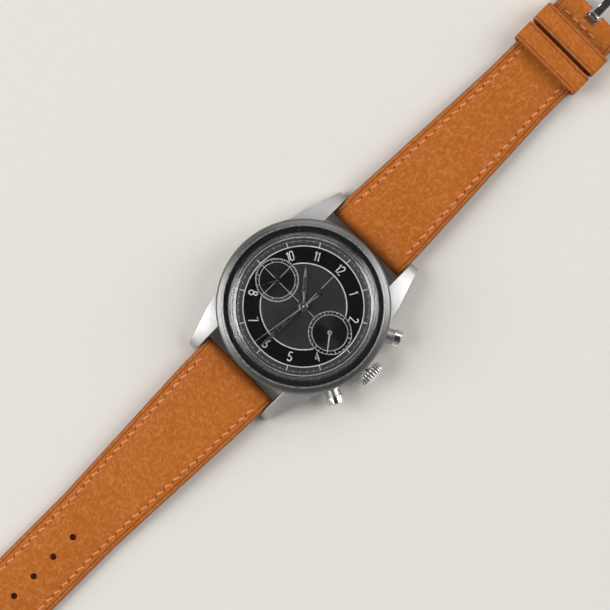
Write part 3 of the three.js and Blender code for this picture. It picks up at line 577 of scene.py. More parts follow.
def acrylic(name):
    """Domed acrylic with polish lines and specks; lamps reach the dial through it."""
    paint = Paint(name, IOR=1.49, Transmission_Weight=1.0, Roughness=0.0)
    scratches = paint.noise((0.5, 5.0, 0.5), 3, 0.7, 1.5)
    dust = paint.dots(0.9, 0.015, 0.05)
    height = paint.math("ADD", paint.range(scratches, 0.62, 0.7), paint.math("MULTIPLY", dust, 0.8))
    paint.feed(
        Base_Color=paint.mix(dust, (0.985, 0.99, 0.985, 1), (0.9, 0.9, 0.88, 1)),
        Roughness=paint.range(scratches, 0.6, 0.75, 0.0, 0.06),
        Normal=paint.bump(height, 0.08, 0.006),
    )
    clear = paint.add("ShaderNodeBsdfTransparent", {"Color": (0.93, 0.93, 0.93, 1)})
    shadow = paint.add("ShaderNodeLightPath").outputs["Is Shadow Ray"]
    both = paint.add("ShaderNodeMixShader", {0: shadow, 1: paint.shader.outputs[0], 2: clear.outputs[0]})
    output = paint.tree.nodes["Material Output"]
    paint.tree.links.new(both.outputs[0], output.inputs["Surface"])
    return paint.material


def plain_black(name, tone, rough, dust=0.0):
    """Black rubber or gasket with a fine skin and specks of dust."""
    paint = Paint(name)
    skin = paint.noise(6)
    light = scaled(tone, 2.0)
    specks = paint.dots(1.4, 0.06, 0.16, dust)
    return paint.feed(
        Base_Color=paint.mix(specks, paint.mix(skin, tone, light), rgb(150, 148, 144)),
        Roughness=paint.range(skin, 0.3, 0.7, rough, rough + 0.15),
        Normal=paint.bump(skin, 0.3, 0.02),
    )


TAN = rgb(175, 93, 20)
TAN_WARM = rgb(182, 100, 26)
TAN_DEEP = rgb(162, 82, 16)
# Pale tan of the painted highlights on the wrinkle ridges
TAN_HIGHLIGHT = rgb(205, 134, 74)
TAN_DARK = rgb(112, 52, 15)
EDGE_PAINT = rgb(140, 84, 58)
CREASE_DARK = rgb(70, 26, 16)


def leather(name, grain, turn, highlight_share, pore_share):
    """Tan calf: mottled dye, a close net of fine wrinkle lines drawn out along the grain and painted pale as
    highlights on their ridges, and pores.
    """
    paint = Paint(name, Specular_IOR_Level=0.2)
    warp = paint.add("ShaderNodeTexNoise", {"Vector": paint.place(0.4), "Scale": 1.0, "Detail": 2.0})
    spread = {0: warp.outputs["Color"], 1: (0.5, 0.5, 0.5), 2: paint.place(grain, turn)}
    bent = paint.add("ShaderNodeVectorMath", spread, operation="MULTIPLY_ADD").outputs[0]
    broad = paint.noise(0.07, 3, 0.5)
    mottle = paint.noise(1.6, 5, 0.7)
    net = paint.range(paint.cells(bent, 1.0, "DISTANCE_TO_EDGE"), 0.0, 0.15, 1.0, 0.0)
    fine_net = paint.range(paint.cells(bent, 1.8, "DISTANCE_TO_EDGE"), 0.0, 0.16, 1.0, 0.0)
    pick = paint.range(paint.noise(1.1, 2, 0.5), 0.4, 0.6, 0.15, 1.0)
    both_nets = paint.math("MAXIMUM", net, paint.math("MULTIPLY", fine_net, 0.6))
    wrinkles_and_highlights = paint.math("MULTIPLY", both_nets, pick)
    pores = paint.dots(0.62, 0.05, 0.12)
    tone = paint.mix(paint.range(broad, 0.3, 0.7), TAN, TAN_WARM)
    tone = paint.mix(paint.range(mottle, 0.4, 0.62, 0.0, 0.5), tone, TAN_DEEP)
    # Painted highlight: the wrinkle net is mixed towards pale tan, as light caught on its ridges
    tone = paint.mix(paint.math("MULTIPLY", wrinkles_and_highlights, highlight_share), tone, TAN_HIGHLIGHT)
    tone = paint.mix(paint.math("MULTIPLY", pores, pore_share), tone, TAN_DARK)
    # Painted shade: the mesh's shade value darkens the tan by the lug fold, on the underside and inside the
    # keepers
    tone = paint.mix(paint.value("shade"), tone, TAN_DARK)
    tone = paint.mix(paint.value("edge"), tone, EDGE_PAINT)
    tone = paint.mix(paint.value("crease"), tone, CREASE_DARK)
    bumps, folds = paint.math("MULTIPLY", mottle, 0.35), paint.math("MULTIPLY", wrinkles_and_highlights, 0.5)
    height = paint.math("SUBTRACT", bumps, folds)
    height = paint.math("SUBTRACT", height, paint.math("MULTIPLY", pores, 0.6))
    return paint.feed(
        Base_Color=tone,
        Roughness=paint.range(mottle, 0.3, 0.7, 0.45, 0.62),
        Normal=paint.bump(height, 0.5, 0.08),
    )


def thread_paint(name, tone, dark):
    """Waxed linen thread with the fibres of its twist."""
    paint = Paint(name, Roughness=0.6, Sheen_Weight=0.15)
    fibres = paint.noise((5, 2, 5))
    return paint.feed(
        Base_Color=paint.mix(paint.range(fibres, 0.3, 0.65), dark, tone),
        Normal=paint.bump(fibres, 0.5, 0.05),
    )


LUG_STEEL = steel("lug_steel", (0.59, 0.585, 0.58, 1), (7.0, 0.4, 7.0), (0.44, 0.52), 0.2, 0.006)
# The bezel ring and its lip are the same steel: the ring's dark tint is painted shade on its slope, the
# lip's bright tint a painted highlight
SHADED_BEZEL_STEEL = turned_steel("bezel_steel_painted_shade", (0.22, 0.218, 0.215, 1), (0.32, 0.44))
LIT_LIP_STEEL = turned_steel("lip_steel_painted_highlight", (0.7, 0.697, 0.69, 1), (0.25, 0.4))
BACK_STEEL = turned_steel("back_steel", (0.62, 0.615, 0.61, 1), (0.25, 0.4), 7.0, 0.6)
POLISHED = polished("polished_steel", (0.8, 0.795, 0.79, 1))
CROWN_STEEL = grooved_steel("crown_steel", (0.82, 0.815, 0.8, 1))
HAND_STEEL = polished("hand_steel", (0.1, 0.1, 0.103, 1), 0.24, 0.04)
PALE_HAND = polished("pale_hand_steel", (0.34, 0.336, 0.325, 1), 0.34, 0.06)
DARK_HAND = polished("dark_hand_steel", (0.1, 0.1, 0.105, 1), 0.2, 0.06)
SATIN = steel("satin_steel", (0.5, 0.495, 0.49, 1), (0.6, 6.0, 6.0), (0.3, 0.45))
RING_STEEL = turned_steel("tension_ring_steel", (0.5, 0.5, 0.5, 1), (0.2, 0.32), 14.0, 0.3, 0.2)
WORK_STEEL = polished("movement_steel", (0.6, 0.6, 0.61, 1), 0.16)
GILT = brass("gilt_brass", (0.8, 0.58, 0.27, 1))
PIVOT = brass("pivot_brass", (0.85, 0.7, 0.45, 1))
NICKEL = pearled("nickel_brass", (0.66, 0.64, 0.58, 1))
DIAL_BLACK = dial_enamel("black_dial")
CHAPTER_GREY = chapter_grey("chapter_grey")
REGISTER_BLACK = grooved_black("register_black")
PRINT_WHITE = print_paint("dial_print", rgb(186, 189, 192), rgb(140, 142, 146))
TRACK_GREY = print_paint("track_print", rgb(172, 172, 176), rgb(125, 125, 128))
ACRYLIC = acrylic("acrylic")
RUBBER = plain_black("gasket_rubber", (0.01, 0.01, 0.01, 1), 0.6)
RING_BLACK = plain_black("seat_ring_black", (0.004, 0.004, 0.005, 1), 0.1, 0.5)
LEATHER_LONG = leather("tan_leather_lengthwise", (1.3, 0.3, 0.7), math.radians(6), 0.6, 0.7)
LEATHER_PEBBLE = leather("tan_leather_pebbled", (1.6, 0.6, 0.9), math.radians(-40), 0.62, 0.5)
LEATHER_CROSS = leather("tan_leather_crosswise", (0.6, 1.2, 1.0), math.radians(12), 0.5, 0.3)
THREAD = thread_paint("stitch_thread", rgb(232, 148, 96), rgb(198, 106, 56))
# Dark slits between the stitches: painted shade where the needle holes are
SLIT = plain_black("stitch_slit_shade", rgb(60, 22, 12), 0.7)

# ---- Case ----


def lug(side_x, side_y):
    """One lug: rounded sections that narrow, drop and turn down to the tip."""
    shape = through(
        # y, outer x, low z, high z, slope of the top, corner radius
        [
            (8.5, 16.9, 1.2, 7.36, 0.0, 0.14),
            (12.0, 15.35, 1.2, 7.36, 0.2, 0.14),
            (14.5, 14.8, 1.1, 7.26, 0.5, 0.14),
            (17.0, 14.0, 1.0, 6.85, 0.6, 0.14),
            (19.2, 13.3, 0.9, 6.2, 0.55, 0.15),
            (21.2, 12.65, 0.7, 5.25, 0.42, 0.18),
            (22.4, 12.3, 0.66, 4.35, 0.3, 0.24),
            (23.1, 12.05, 0.8, 3.2, 0.22, 0.35),
            (23.38, 11.85, 1.3, 2.1, 0.1, 0.3),
        ],
        7,
    )
    sections = []
    for y, out, low, high, slope, radius in shape:
        corner = min(radius, 0.45 * (high - low - slope))
        inner = [(LUG_INSIDE, low, corner * 0.6), (out, low, corner)]
        outline = rounded(inner + [(out, high - slope, corner), (LUG_INSIDE, high, 0.12)], 4)
        section = [(side_x * x, side_y * y, z) for x, z in outline]
        sections.append(section if side_x * side_y > 0 else section[::-1])
    return loft(sections)


def turned(name, profile, sides, slot, material, node="", steps=5):
    """A piece of the case turned from a profile of (radius, z, corner radius)."""
    shape = lathe(rounded(profile, steps), sides)
    return piece(name, *shape, "case", slot, material, [node] if node else [])


def make_case():
    band = [
        (CASE_BORE, CASE_TOP, 0.05),
        (CASE_RADIUS - 0.02, CASE_TOP, 0.18),
        (CASE_RADIUS, 3.2, 0.4),
        (CASE_RADIUS - 0.35, CASE_LOW, 0.25),
        (BACK_BORE, CASE_LOW, 0.08),
        (BACK_BORE, BACK_SEAT, 0.0),
        (CASE_BORE, BACK_SEAT, 0.0),
    ]
    body = turned("case_band", band, 256, "case_steel", LUG_STEEL, "case_middle")
    combine(body, [tool(*lug(sx, sy)) for sx in (1, -1) for sy in (1, -1)], "UNION")
    # The room for the movement, then the bores of the tubes and the holes of the spring bars
    room = [(0, -1), (BACK_BORE, -1), (BACK_BORE, BACK_SEAT), (CASE_BORE, BACK_SEAT), (CASE_BORE, 9), (0, 9)]
    start, end = 15, 21
    cuts = [lathe(room, 256), laid(cylinder(CROWN_TUBE_R, start, end, 48), z=STEM_Z)]
    for side in (1, -1):
        cuts.append(laid(cylinder(PUSHER_TUBE_R, start, end, 64), side * PUSHER_ANGLE, z=STEM_Z))
    for side in (1, -1):
        cuts.append(laid(cylinder(SPRING_BAR_R, -11.1, 11.1), y=side * LUG_BAR_Y, z=LUG_BAR_Z))
    combine(body, [tool(*cut) for cut in cuts])


make_case()

LIP_RADIUS = 17.7
BEZEL = [
    (BEZEL_BORE, BEZEL_LOW, 0.03), (BEZEL_RADIUS - 0.15, BEZEL_LOW, 0.05),
    (BEZEL_RADIUS, BEZEL_LOW + 0.3, 0.12), (BEZEL_RADIUS, 8.3, 0.2), (18.66, 8.72, 0.16),
    (LIP_RADIUS + 0.1, 9.16, 0.04), (LIP_RADIUS + 0.02, 9.05, 0.02), (LIP_RADIUS + 0.02, 9.0, 0.0),
    (BEZEL_BORE, 9.0, 0.0),
]
LIP = [
    (BEZEL_BORE, 9.01, 0), (LIP_RADIUS + 0.01, 9.01, 0), (LIP_RADIUS + 0.01, BEZEL_TOP, 0.16),
    (BEZEL_BORE, BEZEL_TOP, 0.1),
]
turned("bezel_ring", BEZEL, 288, STEEL, SHADED_BEZEL_STEEL, "bezel")
turned("bezel_lip", LIP, 288, STEEL, LIT_LIP_STEEL)

BACK_OUTSIDE = [
    (0, 0, 0), (10.4, 0, 0.1), (10.55, 0.12, 0.08), (10.9, 0.12, 0.08), (11.05, 0, 0.1),
    (14.6, 0, 0.25), (16.0, 0.45, 0.25), (16.85, 1.0, 0.12),
]
BACK_INSIDE = [
    (16.85, 1.7, 0.08), (16.3, 1.7, 0), (16.3, 1.35, 0), (15.8, 1.35, 0), (15.8, 1.7, 0),
    (15.2, 1.7, 0.05), (15.0, 1.1, 0), (0, 1.1, 0),
]
turned("back_cover", BACK_OUTSIDE + BACK_INSIDE, 192, "case_steel", BACK_STEEL, "case_back", 4)


def make_crystal():
    """A dome with a steep wall, on a flat rim that fills the bezel."""
    rim = [(15.02, 8.02), (17.33, 8.02), (17.33, 8.98), (17.28, 9.05), (16.0, 9.08), (15.9, 9.14)]
    wall = [(15.86, 9.3), (15.84, 10.3), (15.72, 10.95), (15.4, 11.45), (14.7, 11.8), (12.0, 12.32)]
    dome = [(12.0, 12.32), (9.0, 12.6), (5.0, 12.76), (0.0, 12.8)]
    under = [(0.0, 11.9), (5.0, 11.87), (9.0, 11.74), (12.0, 11.56), (14.2, 11.3)]
    inside = [(14.2, 11.3), (14.7, 11.18), (14.93, 10.95), (15.02, 10.5), (15.02, 8.4)]
    outer = [rim, through(wall, 7), through(dome, 8)[1:]]
    profile = np.vstack(outer + [through(under, 6), through(inside, 6)[1:]])
    piece("crystal_dome", *lathe(profile, 256), "case", "acrylic", ACRYLIC, ["crystal"], sharp=50)


make_crystal()

SEAT = [(15.86, 7.45, 0), (17.3, 7.45, 0), (17.3, 7.95, 0.05), (15.86, 7.95, 0.05)]
turned("seat_ring", SEAT, 200, DIAL, RING_BLACK, "crystal_seat_ring")


def make_tension_ring():
    """A bright ring of fine steps between the dial's edge and the crystal's wall."""
    steps = 6
    inner, outer = 14.95, 15.84
    low, high = DIAL_TOP + 0.02, 7.97
    profile = [(inner, low)]
    for i in range(steps):
        share = (i + 1) / steps
        r = inner + (outer - 0.12 - inner) * share
        z = low + (high - low) * share
        profile += [(r - 0.09, z - 0.04), (r - 0.02, z)]
    profile += [(outer, high), (outer, low)]
    turned("tension_ring", [(r, z, 0.025) for r, z in profile], 256, STEEL, RING_STEEL, steps=2)


make_tension_ring()

# ---- Dial ----


def make_dial():
    track_low = DIAL_TOP - CHAPTER_DROP
    step = track_low - 0.08
    edge = [(0, DIAL_LOW, 0), (DIAL_RADIUS, DIAL_LOW, 0.04), (DIAL_RADIUS, step, 0.02)]
    edge += [(RING_OUTER, step, 0), (RING_OUTER, DIAL_TOP, 0.01), (0, DIAL_TOP, 0)]
    plate = turned("dial_plate", edge, 200, DIAL, DIAL_BLACK, "dial", 3)
    holes = [(x, SUBDIAL_R, SUBDIAL_FLOOR) for x in (-SUBDIAL_X, SUBDIAL_X)]
    under = DIAL_LOW - 0.1
    holes += [(x, POST_HOLE_R, under) for x in (-SUBDIAL_X, SUBDIAL_X)] + [(0, CENTRE_HOLE_R, under)]
    combine(plate, [tool(*shifted(cylinder(radius, low, 8, 128), x)) for x, radius, low in holes])
    inner = RING_OUTER + 0.01
    track = [(inner, track_low - 0.07, 0), (CHAPTER_OUTER, track_low - 0.07, 0)]
    track += [(CHAPTER_OUTER, track_low, 0.01), (inner, DIAL_TOP, 0.01)]
    turned("chapter_ring", track, 240, DIAL, CHAPTER_GREY, steps=3)


make_dial()


def printed(name, parts, material, x=0.0):
    """Print of the dial as one piece."""
    piece(name, *merged(*parts), "case", DIAL, material, at=(x, 0, 0), sharp=30)


def on_track(part):
    """Print that follows the slope of the minute track."""
    points, faces = part
    out = np.hypot(points[:, 0], points[:, 1]) - RING_OUTER
    fall = CHAPTER_DROP * np.clip(out, 0, None) / (CHAPTER_OUTER - RING_OUTER)
    return points - np.column_stack([0 * fall, 0 * fall, fall]), faces


def ring_line(radius, width, low, steps=200, start=0.0, end=360.0):
    closed = end - start >= 360
    path = arc(0, 0, radius, start, end, steps + 1)
    return ribbon(path[:-1] if closed else path, width, low, low + PRINT, closed)


def tick(radius_in, radius_out, clock_degrees, width, low):
    return spun(ribbon([(0, radius_in), (0, radius_out)], width, low, low + PRINT), clock_degrees)


# Strokes of each digit in a box 1 high, as lines and arcs, and each digit's width
DIGITS = {
    "0": [np.vstack([arc(0.19, 0.78, 0.19, 0, 180, 9), arc(0.19, 0.22, 0.19, 180, 360, 9), [(0.38, 0.78)]])],
    "1": [np.array([(0.02, 0.8), (0.17, 0.97), (0.17, 0.0)])],
    "2": [np.vstack([arc(0.2, 0.77, 0.2, 165, -35, 11), [(0.0, 0.0), (0.42, 0.0)]])],
    "4": [np.array([(0.33, 0.0), (0.33, 1.0), (0.0, 0.28), (0.44, 0.28)])],
    "5": [np.vstack([[(0.38, 1.0), (0.06, 1.0), (0.03, 0.56)], arc(0.18, 0.31, 0.24, 110, -150, 14)])],
    "6": [np.vstack([[(0.33, 1.0), (0.06, 0.42)], arc(0.21, 0.22, 0.22, 150, -210, 20)])],
    "7": [np.array([(0.0, 1.0), (0.4, 1.0), (0.12, 0.0)])],
    "8": [arc(0.2, 0.76, 0.19, -90, 270, 17), arc(0.2, 0.27, 0.24, 90, 450, 19)],
}
DIGIT_WIDTH = {"0": 0.38, "1": 0.2, "2": 0.42, "4": 0.44, "5": 0.42, "6": 0.43, "7": 0.4, "8": 0.44}
DIGIT_GAP = 0.14
STROKE = 0.23


def numeral(text, clock_degrees, radius, height, low):
    """Digits centred on a clock angle. In the lower half their tops point inwards."""
    inward = 90 < clock_degrees % 360 < 270
    x = -(sum(DIGIT_WIDTH[c] for c in text) + DIGIT_GAP * (len(text) - 1)) / 2
    parts = []
    for c in text:
        for stroke in DIGITS[c]:
            points, faces = ribbon((stroke + [x, -0.5]) * height, STROKE, low, low + PRINT)
            if inward:
                points = points * [-1, -1, 1]
            parts.append(spun(shifted((points, faces), 0, radius), clock_degrees))
        x += DIGIT_WIDTH[c] + DIGIT_GAP
    return parts


HOURS = ("12", "1", "2", "", "4", "5", "6", "7", "8", "", "10", "11")
TRACK_END = 14.2
HAIRLINE = 0.09
REGISTER_CUT = 4.9


def make_dial_print():
    low = DIAL_TOP
    parts = [ring_line(RING_OUTER, 0.23, low)]
    # The inner ring stops where the registers cut it
    reach = (RING_INNER**2 + SUBDIAL_X**2 - REGISTER_CUT**2) / (2 * RING_INNER * SUBDIAL_X)
    gap = math.degrees(math.acos(reach))
    for start in (gap, 180 + gap):
        parts.append(ring_line(RING_INNER, 0.22, low, 90, start, start + 180 - 2 * gap))
    for hour, text in enumerate(HOURS):
        if text:
            parts += numeral(text, hour * 30, NUMERAL_R, NUMERAL_HEIGHT, low)
        parts.append(on_track(tick(RING_OUTER + 0.1, TRACK_END, hour * 30, 0.2, low)))
    # Fine cross hairs of the middle
    side_end = SUBDIAL_X - 4.85
    near = 1.35
    hairlines = [(5.4, RING_INNER, 0), (near, 4.0, 0), (near, side_end, 90), (near, side_end, 270)]
    parts += [tick(start, end, turn, HAIRLINE, low) for start, end, turn in hairlines]
    printed("dial_print", parts, PRINT_WHITE)

    dots = []
    for i in range(300):
        if i % 25:
            length, width = (0.16, 0.07) if i % 5 else (0.42, 0.13)
            dots.append(on_track(tick(TRACK_END - length, TRACK_END, i * 1.2, width, low)))
    printed("track_print", dots, TRACK_GREY)


make_dial_print()


def make_register(name, x, ticks, cross=()):
    """A register: turned floor, two fine rings with ticks between, and its hairlines."""
    low = SUBDIAL_FLOOR
    groove = 0.16
    profile = [(0.32, low + 0.004)]
    r = 0.4
    while r < 3.8:
        profile += [(r, low + 0.028), (r + groove / 2, low + 0.016)]
        r += groove
    profile += [(3.84, low + 0.02), (3.84, low + 0.004)]
    floor = lathe(profile, 120)
    piece(f"{name}_floor", *floor, "case", DIAL, REGISTER_BLACK, at=(x, 0, 0), sharp=70)
    top = low + 0.03
    parts = [ring_line(REGISTER_OUTER, 0.09, top, 120), ring_line(REGISTER_INNER, 0.1, top, 120)]
    for i in range(ticks):
        start, width = (REGISTER_OUTER - 0.3, 0.15) if i % 5 else (REGISTER_INNER, 0.11)
        parts.append(tick(start, REGISTER_OUTER - 0.02, i * 360 / ticks, width, top))
    parts += [tick(0.7, 3.85, turn, 0.085, top) for turn in cross]
    printed(f"{name}_print", parts, PRINT_WHITE, x)


make_register("seconds_register", -SUBDIAL_X, 60, (0, 90, 180, 270))
make_register("minutes_register", SUBDIAL_X, 30)

# ---- Hands ----


def blade(outline, low, thickness, ridge):
    """A hand's blade: (distance, half width) along its length, with a ridge down the middle."""
    edge = low + thickness * (1 - ridge)
    top = low + thickness
    flank = (edge + top) / 2
    rows = []
    for y, half in through(outline, 8):
        half = max(half, 0.02)
        row = [(-half, y, low), (half, y, low), (half, y, edge), (half * 0.5, y, flank)]
        rows.append(row + [(0, y, top), (-half * 0.5, y, flank), (-half, y, edge)])
    return loft(rows)


def hub(radius, bore, low, high):
    profile = [(bore, low, 0), (radius, low, 0.02), (radius, high, 0.05), (bore, high, 0.02)]
    return lathe(rounded(profile, 3), 64)


def hand(name, node, body, angle, outline, depth, hub_radii, material, x=0.0, slot=STEEL):
    """A hand at its height in the frame: a blade of (thickness, ridge) and a hub of (radius, bore)."""
    low, high = (corner[2] for corner in cad(node))
    parts = [blade(outline, low, *depth)]
    if hub_radii:
        parts.append(hub(*hub_radii, low, high))
    piece(name, *spun(merged(*parts), angle), body, slot, material, [node], at=(x, 0, 0), sharp=25)


HOUR_LEAF = [(1.0, 0.16), (1.9, 0.22), (4.4, 0.47), (6.6, 0.34), (8.0, 0.14), (8.68, 0.03)]
MINUTE_LEAF = [(0.8, 0.16), (2.0, 0.22), (6.0, 0.53), (9.5, 0.42), (12.2, 0.14), (12.98, 0.03)]
SWEEP_NEEDLE = [(-4.3, 0.1), (0.0, 0.12), (7.0, 0.09), (13.5, 0.05)]
SECONDS_BATON = [(-1.1, 0.12), (0.0, 0.13), (2.5, 0.12), (4.28, 0.05)]
COUNTER_BATON = [(-0.4, 0.12), (0.0, 0.14), (2.2, 0.14), (4.26, 0.06)]

SWEEP_LOW, SWEEP_TOP = (corner[2] for corner in cad("sweep_hand"))
DISC = [(0, SWEEP_LOW, 0), (0.42, SWEEP_LOW, 0.02), (0.42, SWEEP_TOP, 0.05), (0, SWEEP_TOP, 0)]
WEIGHT = spun(shifted(lathe(rounded(DISC), 40), 0, -4.5), SWEEP_ANGLE)
LEAF, NEEDLE, BATON = (0.14, 0.6), (0.12, 0.5), (0.09, 0.4)

hand("hour_leaf", "hour_hand", "hour_arbor", HOUR_ANGLE, HOUR_LEAF, LEAF, (1.28, 0.93), HAND_STEEL)
hand("minute_leaf", "minute_hand", "minute_arbor", MINUTE_ANGLE, MINUTE_LEAF, LEAF, (1.08, 0.66), HAND_STEEL)
hand("sweep_needle", "sweep_hand", "sweep_arbor", SWEEP_ANGLE, SWEEP_NEEDLE, NEEDLE, None, PALE_HAND)
piece("sweep_hub", *hub(0.83, 0.23, SWEEP_LOW, SWEEP_TOP), "sweep_arbor", STEEL, POLISHED)
piece("sweep_counterweight", *WEIGHT, "sweep_arbor", STEEL, DARK_HAND)
SECONDS = ("seconds_baton", "small_seconds_hand", "fourth_wheel", SMALL_SECONDS_ANGLE, SECONDS_BATON, BATON)
hand(*SECONDS, (0.5, 0.23), DARK_HAND, -SUBDIAL_X, DIAL)
COUNTER = ("counter_baton", "minute_counter_hand", "minute_counter", COUNTER_ANGLE, COUNTER_BATON, BATON)
hand(*COUNTER, (0.52, 0.23), PALE_HAND, SUBDIAL_X)

# Turned tips of the posts that show in the hands' hubs
for post, body, x, radius, low, high in (
    ("sweep_post", "sweep_arbor", 0.0, 0.22, 8.8, 9.13),
    ("seconds_post", "fourth_wheel", -SUBDIAL_X, 0.2, 7.3, 7.76),
    ("counter_post", "minute_counter", SUBDIAL_X, 0.2, 7.3, 7.76),
):
    tip = [(0, low, 0), (radius, low, 0), (radius, high - 0.05, 0.04), (0.1, high, 0.04), (0, high, 0)]
    piece(post, *lathe(rounded(tip, 3), 32), body, "gilt_brass", PIVOT, at=(x, 0, 0))

# ---- Crown and pushers ----


def make_crown():
    """Rings of points around the crown's axis: neck, fluted grip and a shallow coned end."""
    flutes, per_flute = 24, 14
    around = flutes * per_flute
    angles = np.arange(around) * TAU / around
    wave = np.abs(np.sin(angles * flutes / 2)) ** 0.7
    depth = 0.36
    stations = [
        # distance along the axis, radius, share of the flutes' depth
        (18.25, 0.9, 0),
        (19.42, 0.92, 0),
        (19.42, 2.2, 0),
        (19.72, 2.22, 0),
        (19.76, 2.62, 0),
        (19.86, 2.86, 0.5),
        (19.98, 2.945, 1),
        (20.7, 2.95, 1),
        (21.42, 2.945, 1),
        (21.56, 2.86, 0.5),
        (21.66, 2.68, 0.1),
        (21.7, 2.55, 0),
        (21.98, 2.3, 0),
        (22.04, 2.15, 0),
        (22.16, 0.8, 0),
    ]
    rows, flute_shade = [], []
    for x, radius, share in stations:
        r = radius - depth * share * (1 - wave)
        rows.append(np.column_stack([np.full(around, x), r * np.cos(angles), STEM_Z + r * np.sin(angles)]))
        # Painted shade in the flutes: darkest at the bottom of each groove
        flute_shade.extend(np.clip(1.25 * share * (1 - wave) ** 0.8, 0, 1))
    knob = piece("crown_knob", *loft(rows), "crown", STEEL, CROWN_STEEL, ["crown"], sharp=42)
    mark(knob, "flute_shade", flute_shade)


make_crown()

PUSHER_NECK = [
    (0, 15.25, 0), (0.58, 15.25, 0.05), (0.58, 17.4, 0), (1.65, 17.4, 0.1), (1.65, 20.58, 0.02),
    (0, 20.58, 0),
]
PUSHER_CAP = [
    (0, 20.6, 0), (1.88, 20.6, 0.05), (2.0, 20.74, 0.06), (2.0, 22.2, 0.06), (1.78, 22.48, 0.1),
    (0, 22.5, 0),
]
for body, side in (("pusher_start", 1), ("pusher_reset", -1)):
    for part, profile, finish in (("neck", PUSHER_NECK, SATIN), ("cap", PUSHER_CAP, POLISHED)):
        shape = laid(lathe(rounded(profile), 96), side * PUSHER_ANGLE, z=STEM_Z)
        replaced = [body] if part == "neck" else []
        piece(f"{body}_{part}", *shape, body, STEEL, finish, replaced)

# ---- Strap ----

LUG_FOLD = (LUG_BAR_Y, LUG_BAR_Z, LUG_FOLD_R, -1)
BUCKLE_FOLD = (BUCKLE_BAR_Y, BUCKLE_BAR_Z, BUCKLE_FOLD_R, 1)
BUCKLE_PART = {
    # Levels as (y, z), folds as (y, z, radius, side), outline of the end as (y, half width)
    "tops": [(21, 4.95), (30, 4.75), (50, 3.9), (66, 3.2), (89.5, 3.15)],
    "lows": [(21, 1.05), (24, 0.97), (32, 0.9), (89.5, 0.9)],
    "folds": [LUG_FOLD, BUCKLE_FOLD],
    "tip": [(18, 9.85), (90.65, 9.85)],
    "puff": 0.7,
    "turn": 1,
}
TAIL_PART = {
    "tops": [(21, 4.95), (30, 4.6), (50, 3.5), (66, 2.4), (125, 2.2), (133, 1.9)],
    "lows": [(21, 1.05), (24, 0.95), (35, 0.0), (133, 0.0)],
    "folds": [LUG_FOLD],
    "tip": [(18, 9.85), (123, 8.0), (127, 7.4), (130.2, 5.6), (132.3, 3.0), (132.85, 1.5), (132.98, 0.5)],
    "puff": 0.6,
    "turn": -1,
}
# Distances from the strap's edge at which its top has points
NEAR_EDGE = [0, 0.12, 0.28, 0.45, 0.64, 0.78, CREASE_INSET, 0.96, 1.1, 1.35, 1.65, STITCH_INSET]
NEAR_EDGE += [2.35, 2.7, 3.2, 4, 5]


def bell(distance, width):
    """1 at distance 0, and falling off over a width."""
    return math.exp(-((distance / width) ** 2))


def edge_share(distance, width):
    """1 at an edge, and 0 from a width away."""
    return max(0.0, 1 - distance / width)


def half_width(y):
    share = min(1.0, max(0.0, (y - STRAP_TAPER_START) / (STRAP_TAPER_END - STRAP_TAPER_START)))
    return STRAP_LUG_HALF + (STRAP_END_HALF - STRAP_LUG_HALF) * share


def strap_levels(y, part):
    """Low and high face of the strap at a distance from the centre, round at its folded ends."""
    high = np.interp(y, *zip(*part["tops"]))
    low = np.interp(y, *zip(*part["lows"]))
    for centre, z, radius, sign in part["folds"]:
        past = sign * (y - centre)
        if past > 0:
            reach = math.sqrt(max(radius**2 - past**2, 0.0))
            high, low = z + reach, z - reach
    return low, high


def relief(distance, y, part):
    """How far the top of the strap lies under its middle, by distance from the edge."""
    puff = part["puff"] * np.interp(y, (25, 70), (1.0, 0.35))
    crease = 0.11 * bell(distance - CREASE_INSET, 0.14)
    channel = 0.10 * bell(distance - STITCH_INSET, 0.45)
    return crease + channel + puff * edge_share(distance, 5.0) ** 2 + 0.42 * edge_share(distance, 0.45) ** 2


def distances_across(half):
    """Distances from the edge to the middle, always the same number of them."""
    count = len(NEAR_EDGE) + 4
    inner = list(np.linspace(5, half, 5)[1:]) if half > 5.4 else [half]
    distances = [d for d in NEAR_EDGE if d < half - 0.02] + inner + [half] * count
    return distances[: count - 1] + [half]


def strap_section(y, half, part):
    """A closed (x, z, distance from the edge) section of the strap. The sides have distance -1."""
    low, high = strap_levels(y, part)
    share = min(1.0, (high - low) / 2.0)
    top = [(-half + d, high - relief(d, y, part) * share, d) for d in distances_across(half)]
    top += [(-x, z, d) for x, z, d in reversed(top[:-1])]
    bottom = []
    for x in np.linspace(half, -half, 19):
        d = half - abs(x)
        bottom.append((x, low + 0.2 * share * edge_share(d, 0.35) ** 2, d))
    start, drop = top[-1][1], bottom[0][1] - top[-1][1]
    right = [(half + 0.04 * math.sin(math.pi * t), start + drop * t, -1) for t in (0.25, 0.5, 0.75)]
    left = [(-x, z, d) for x, z, d in reversed(right)]
    return top + right + bottom + left


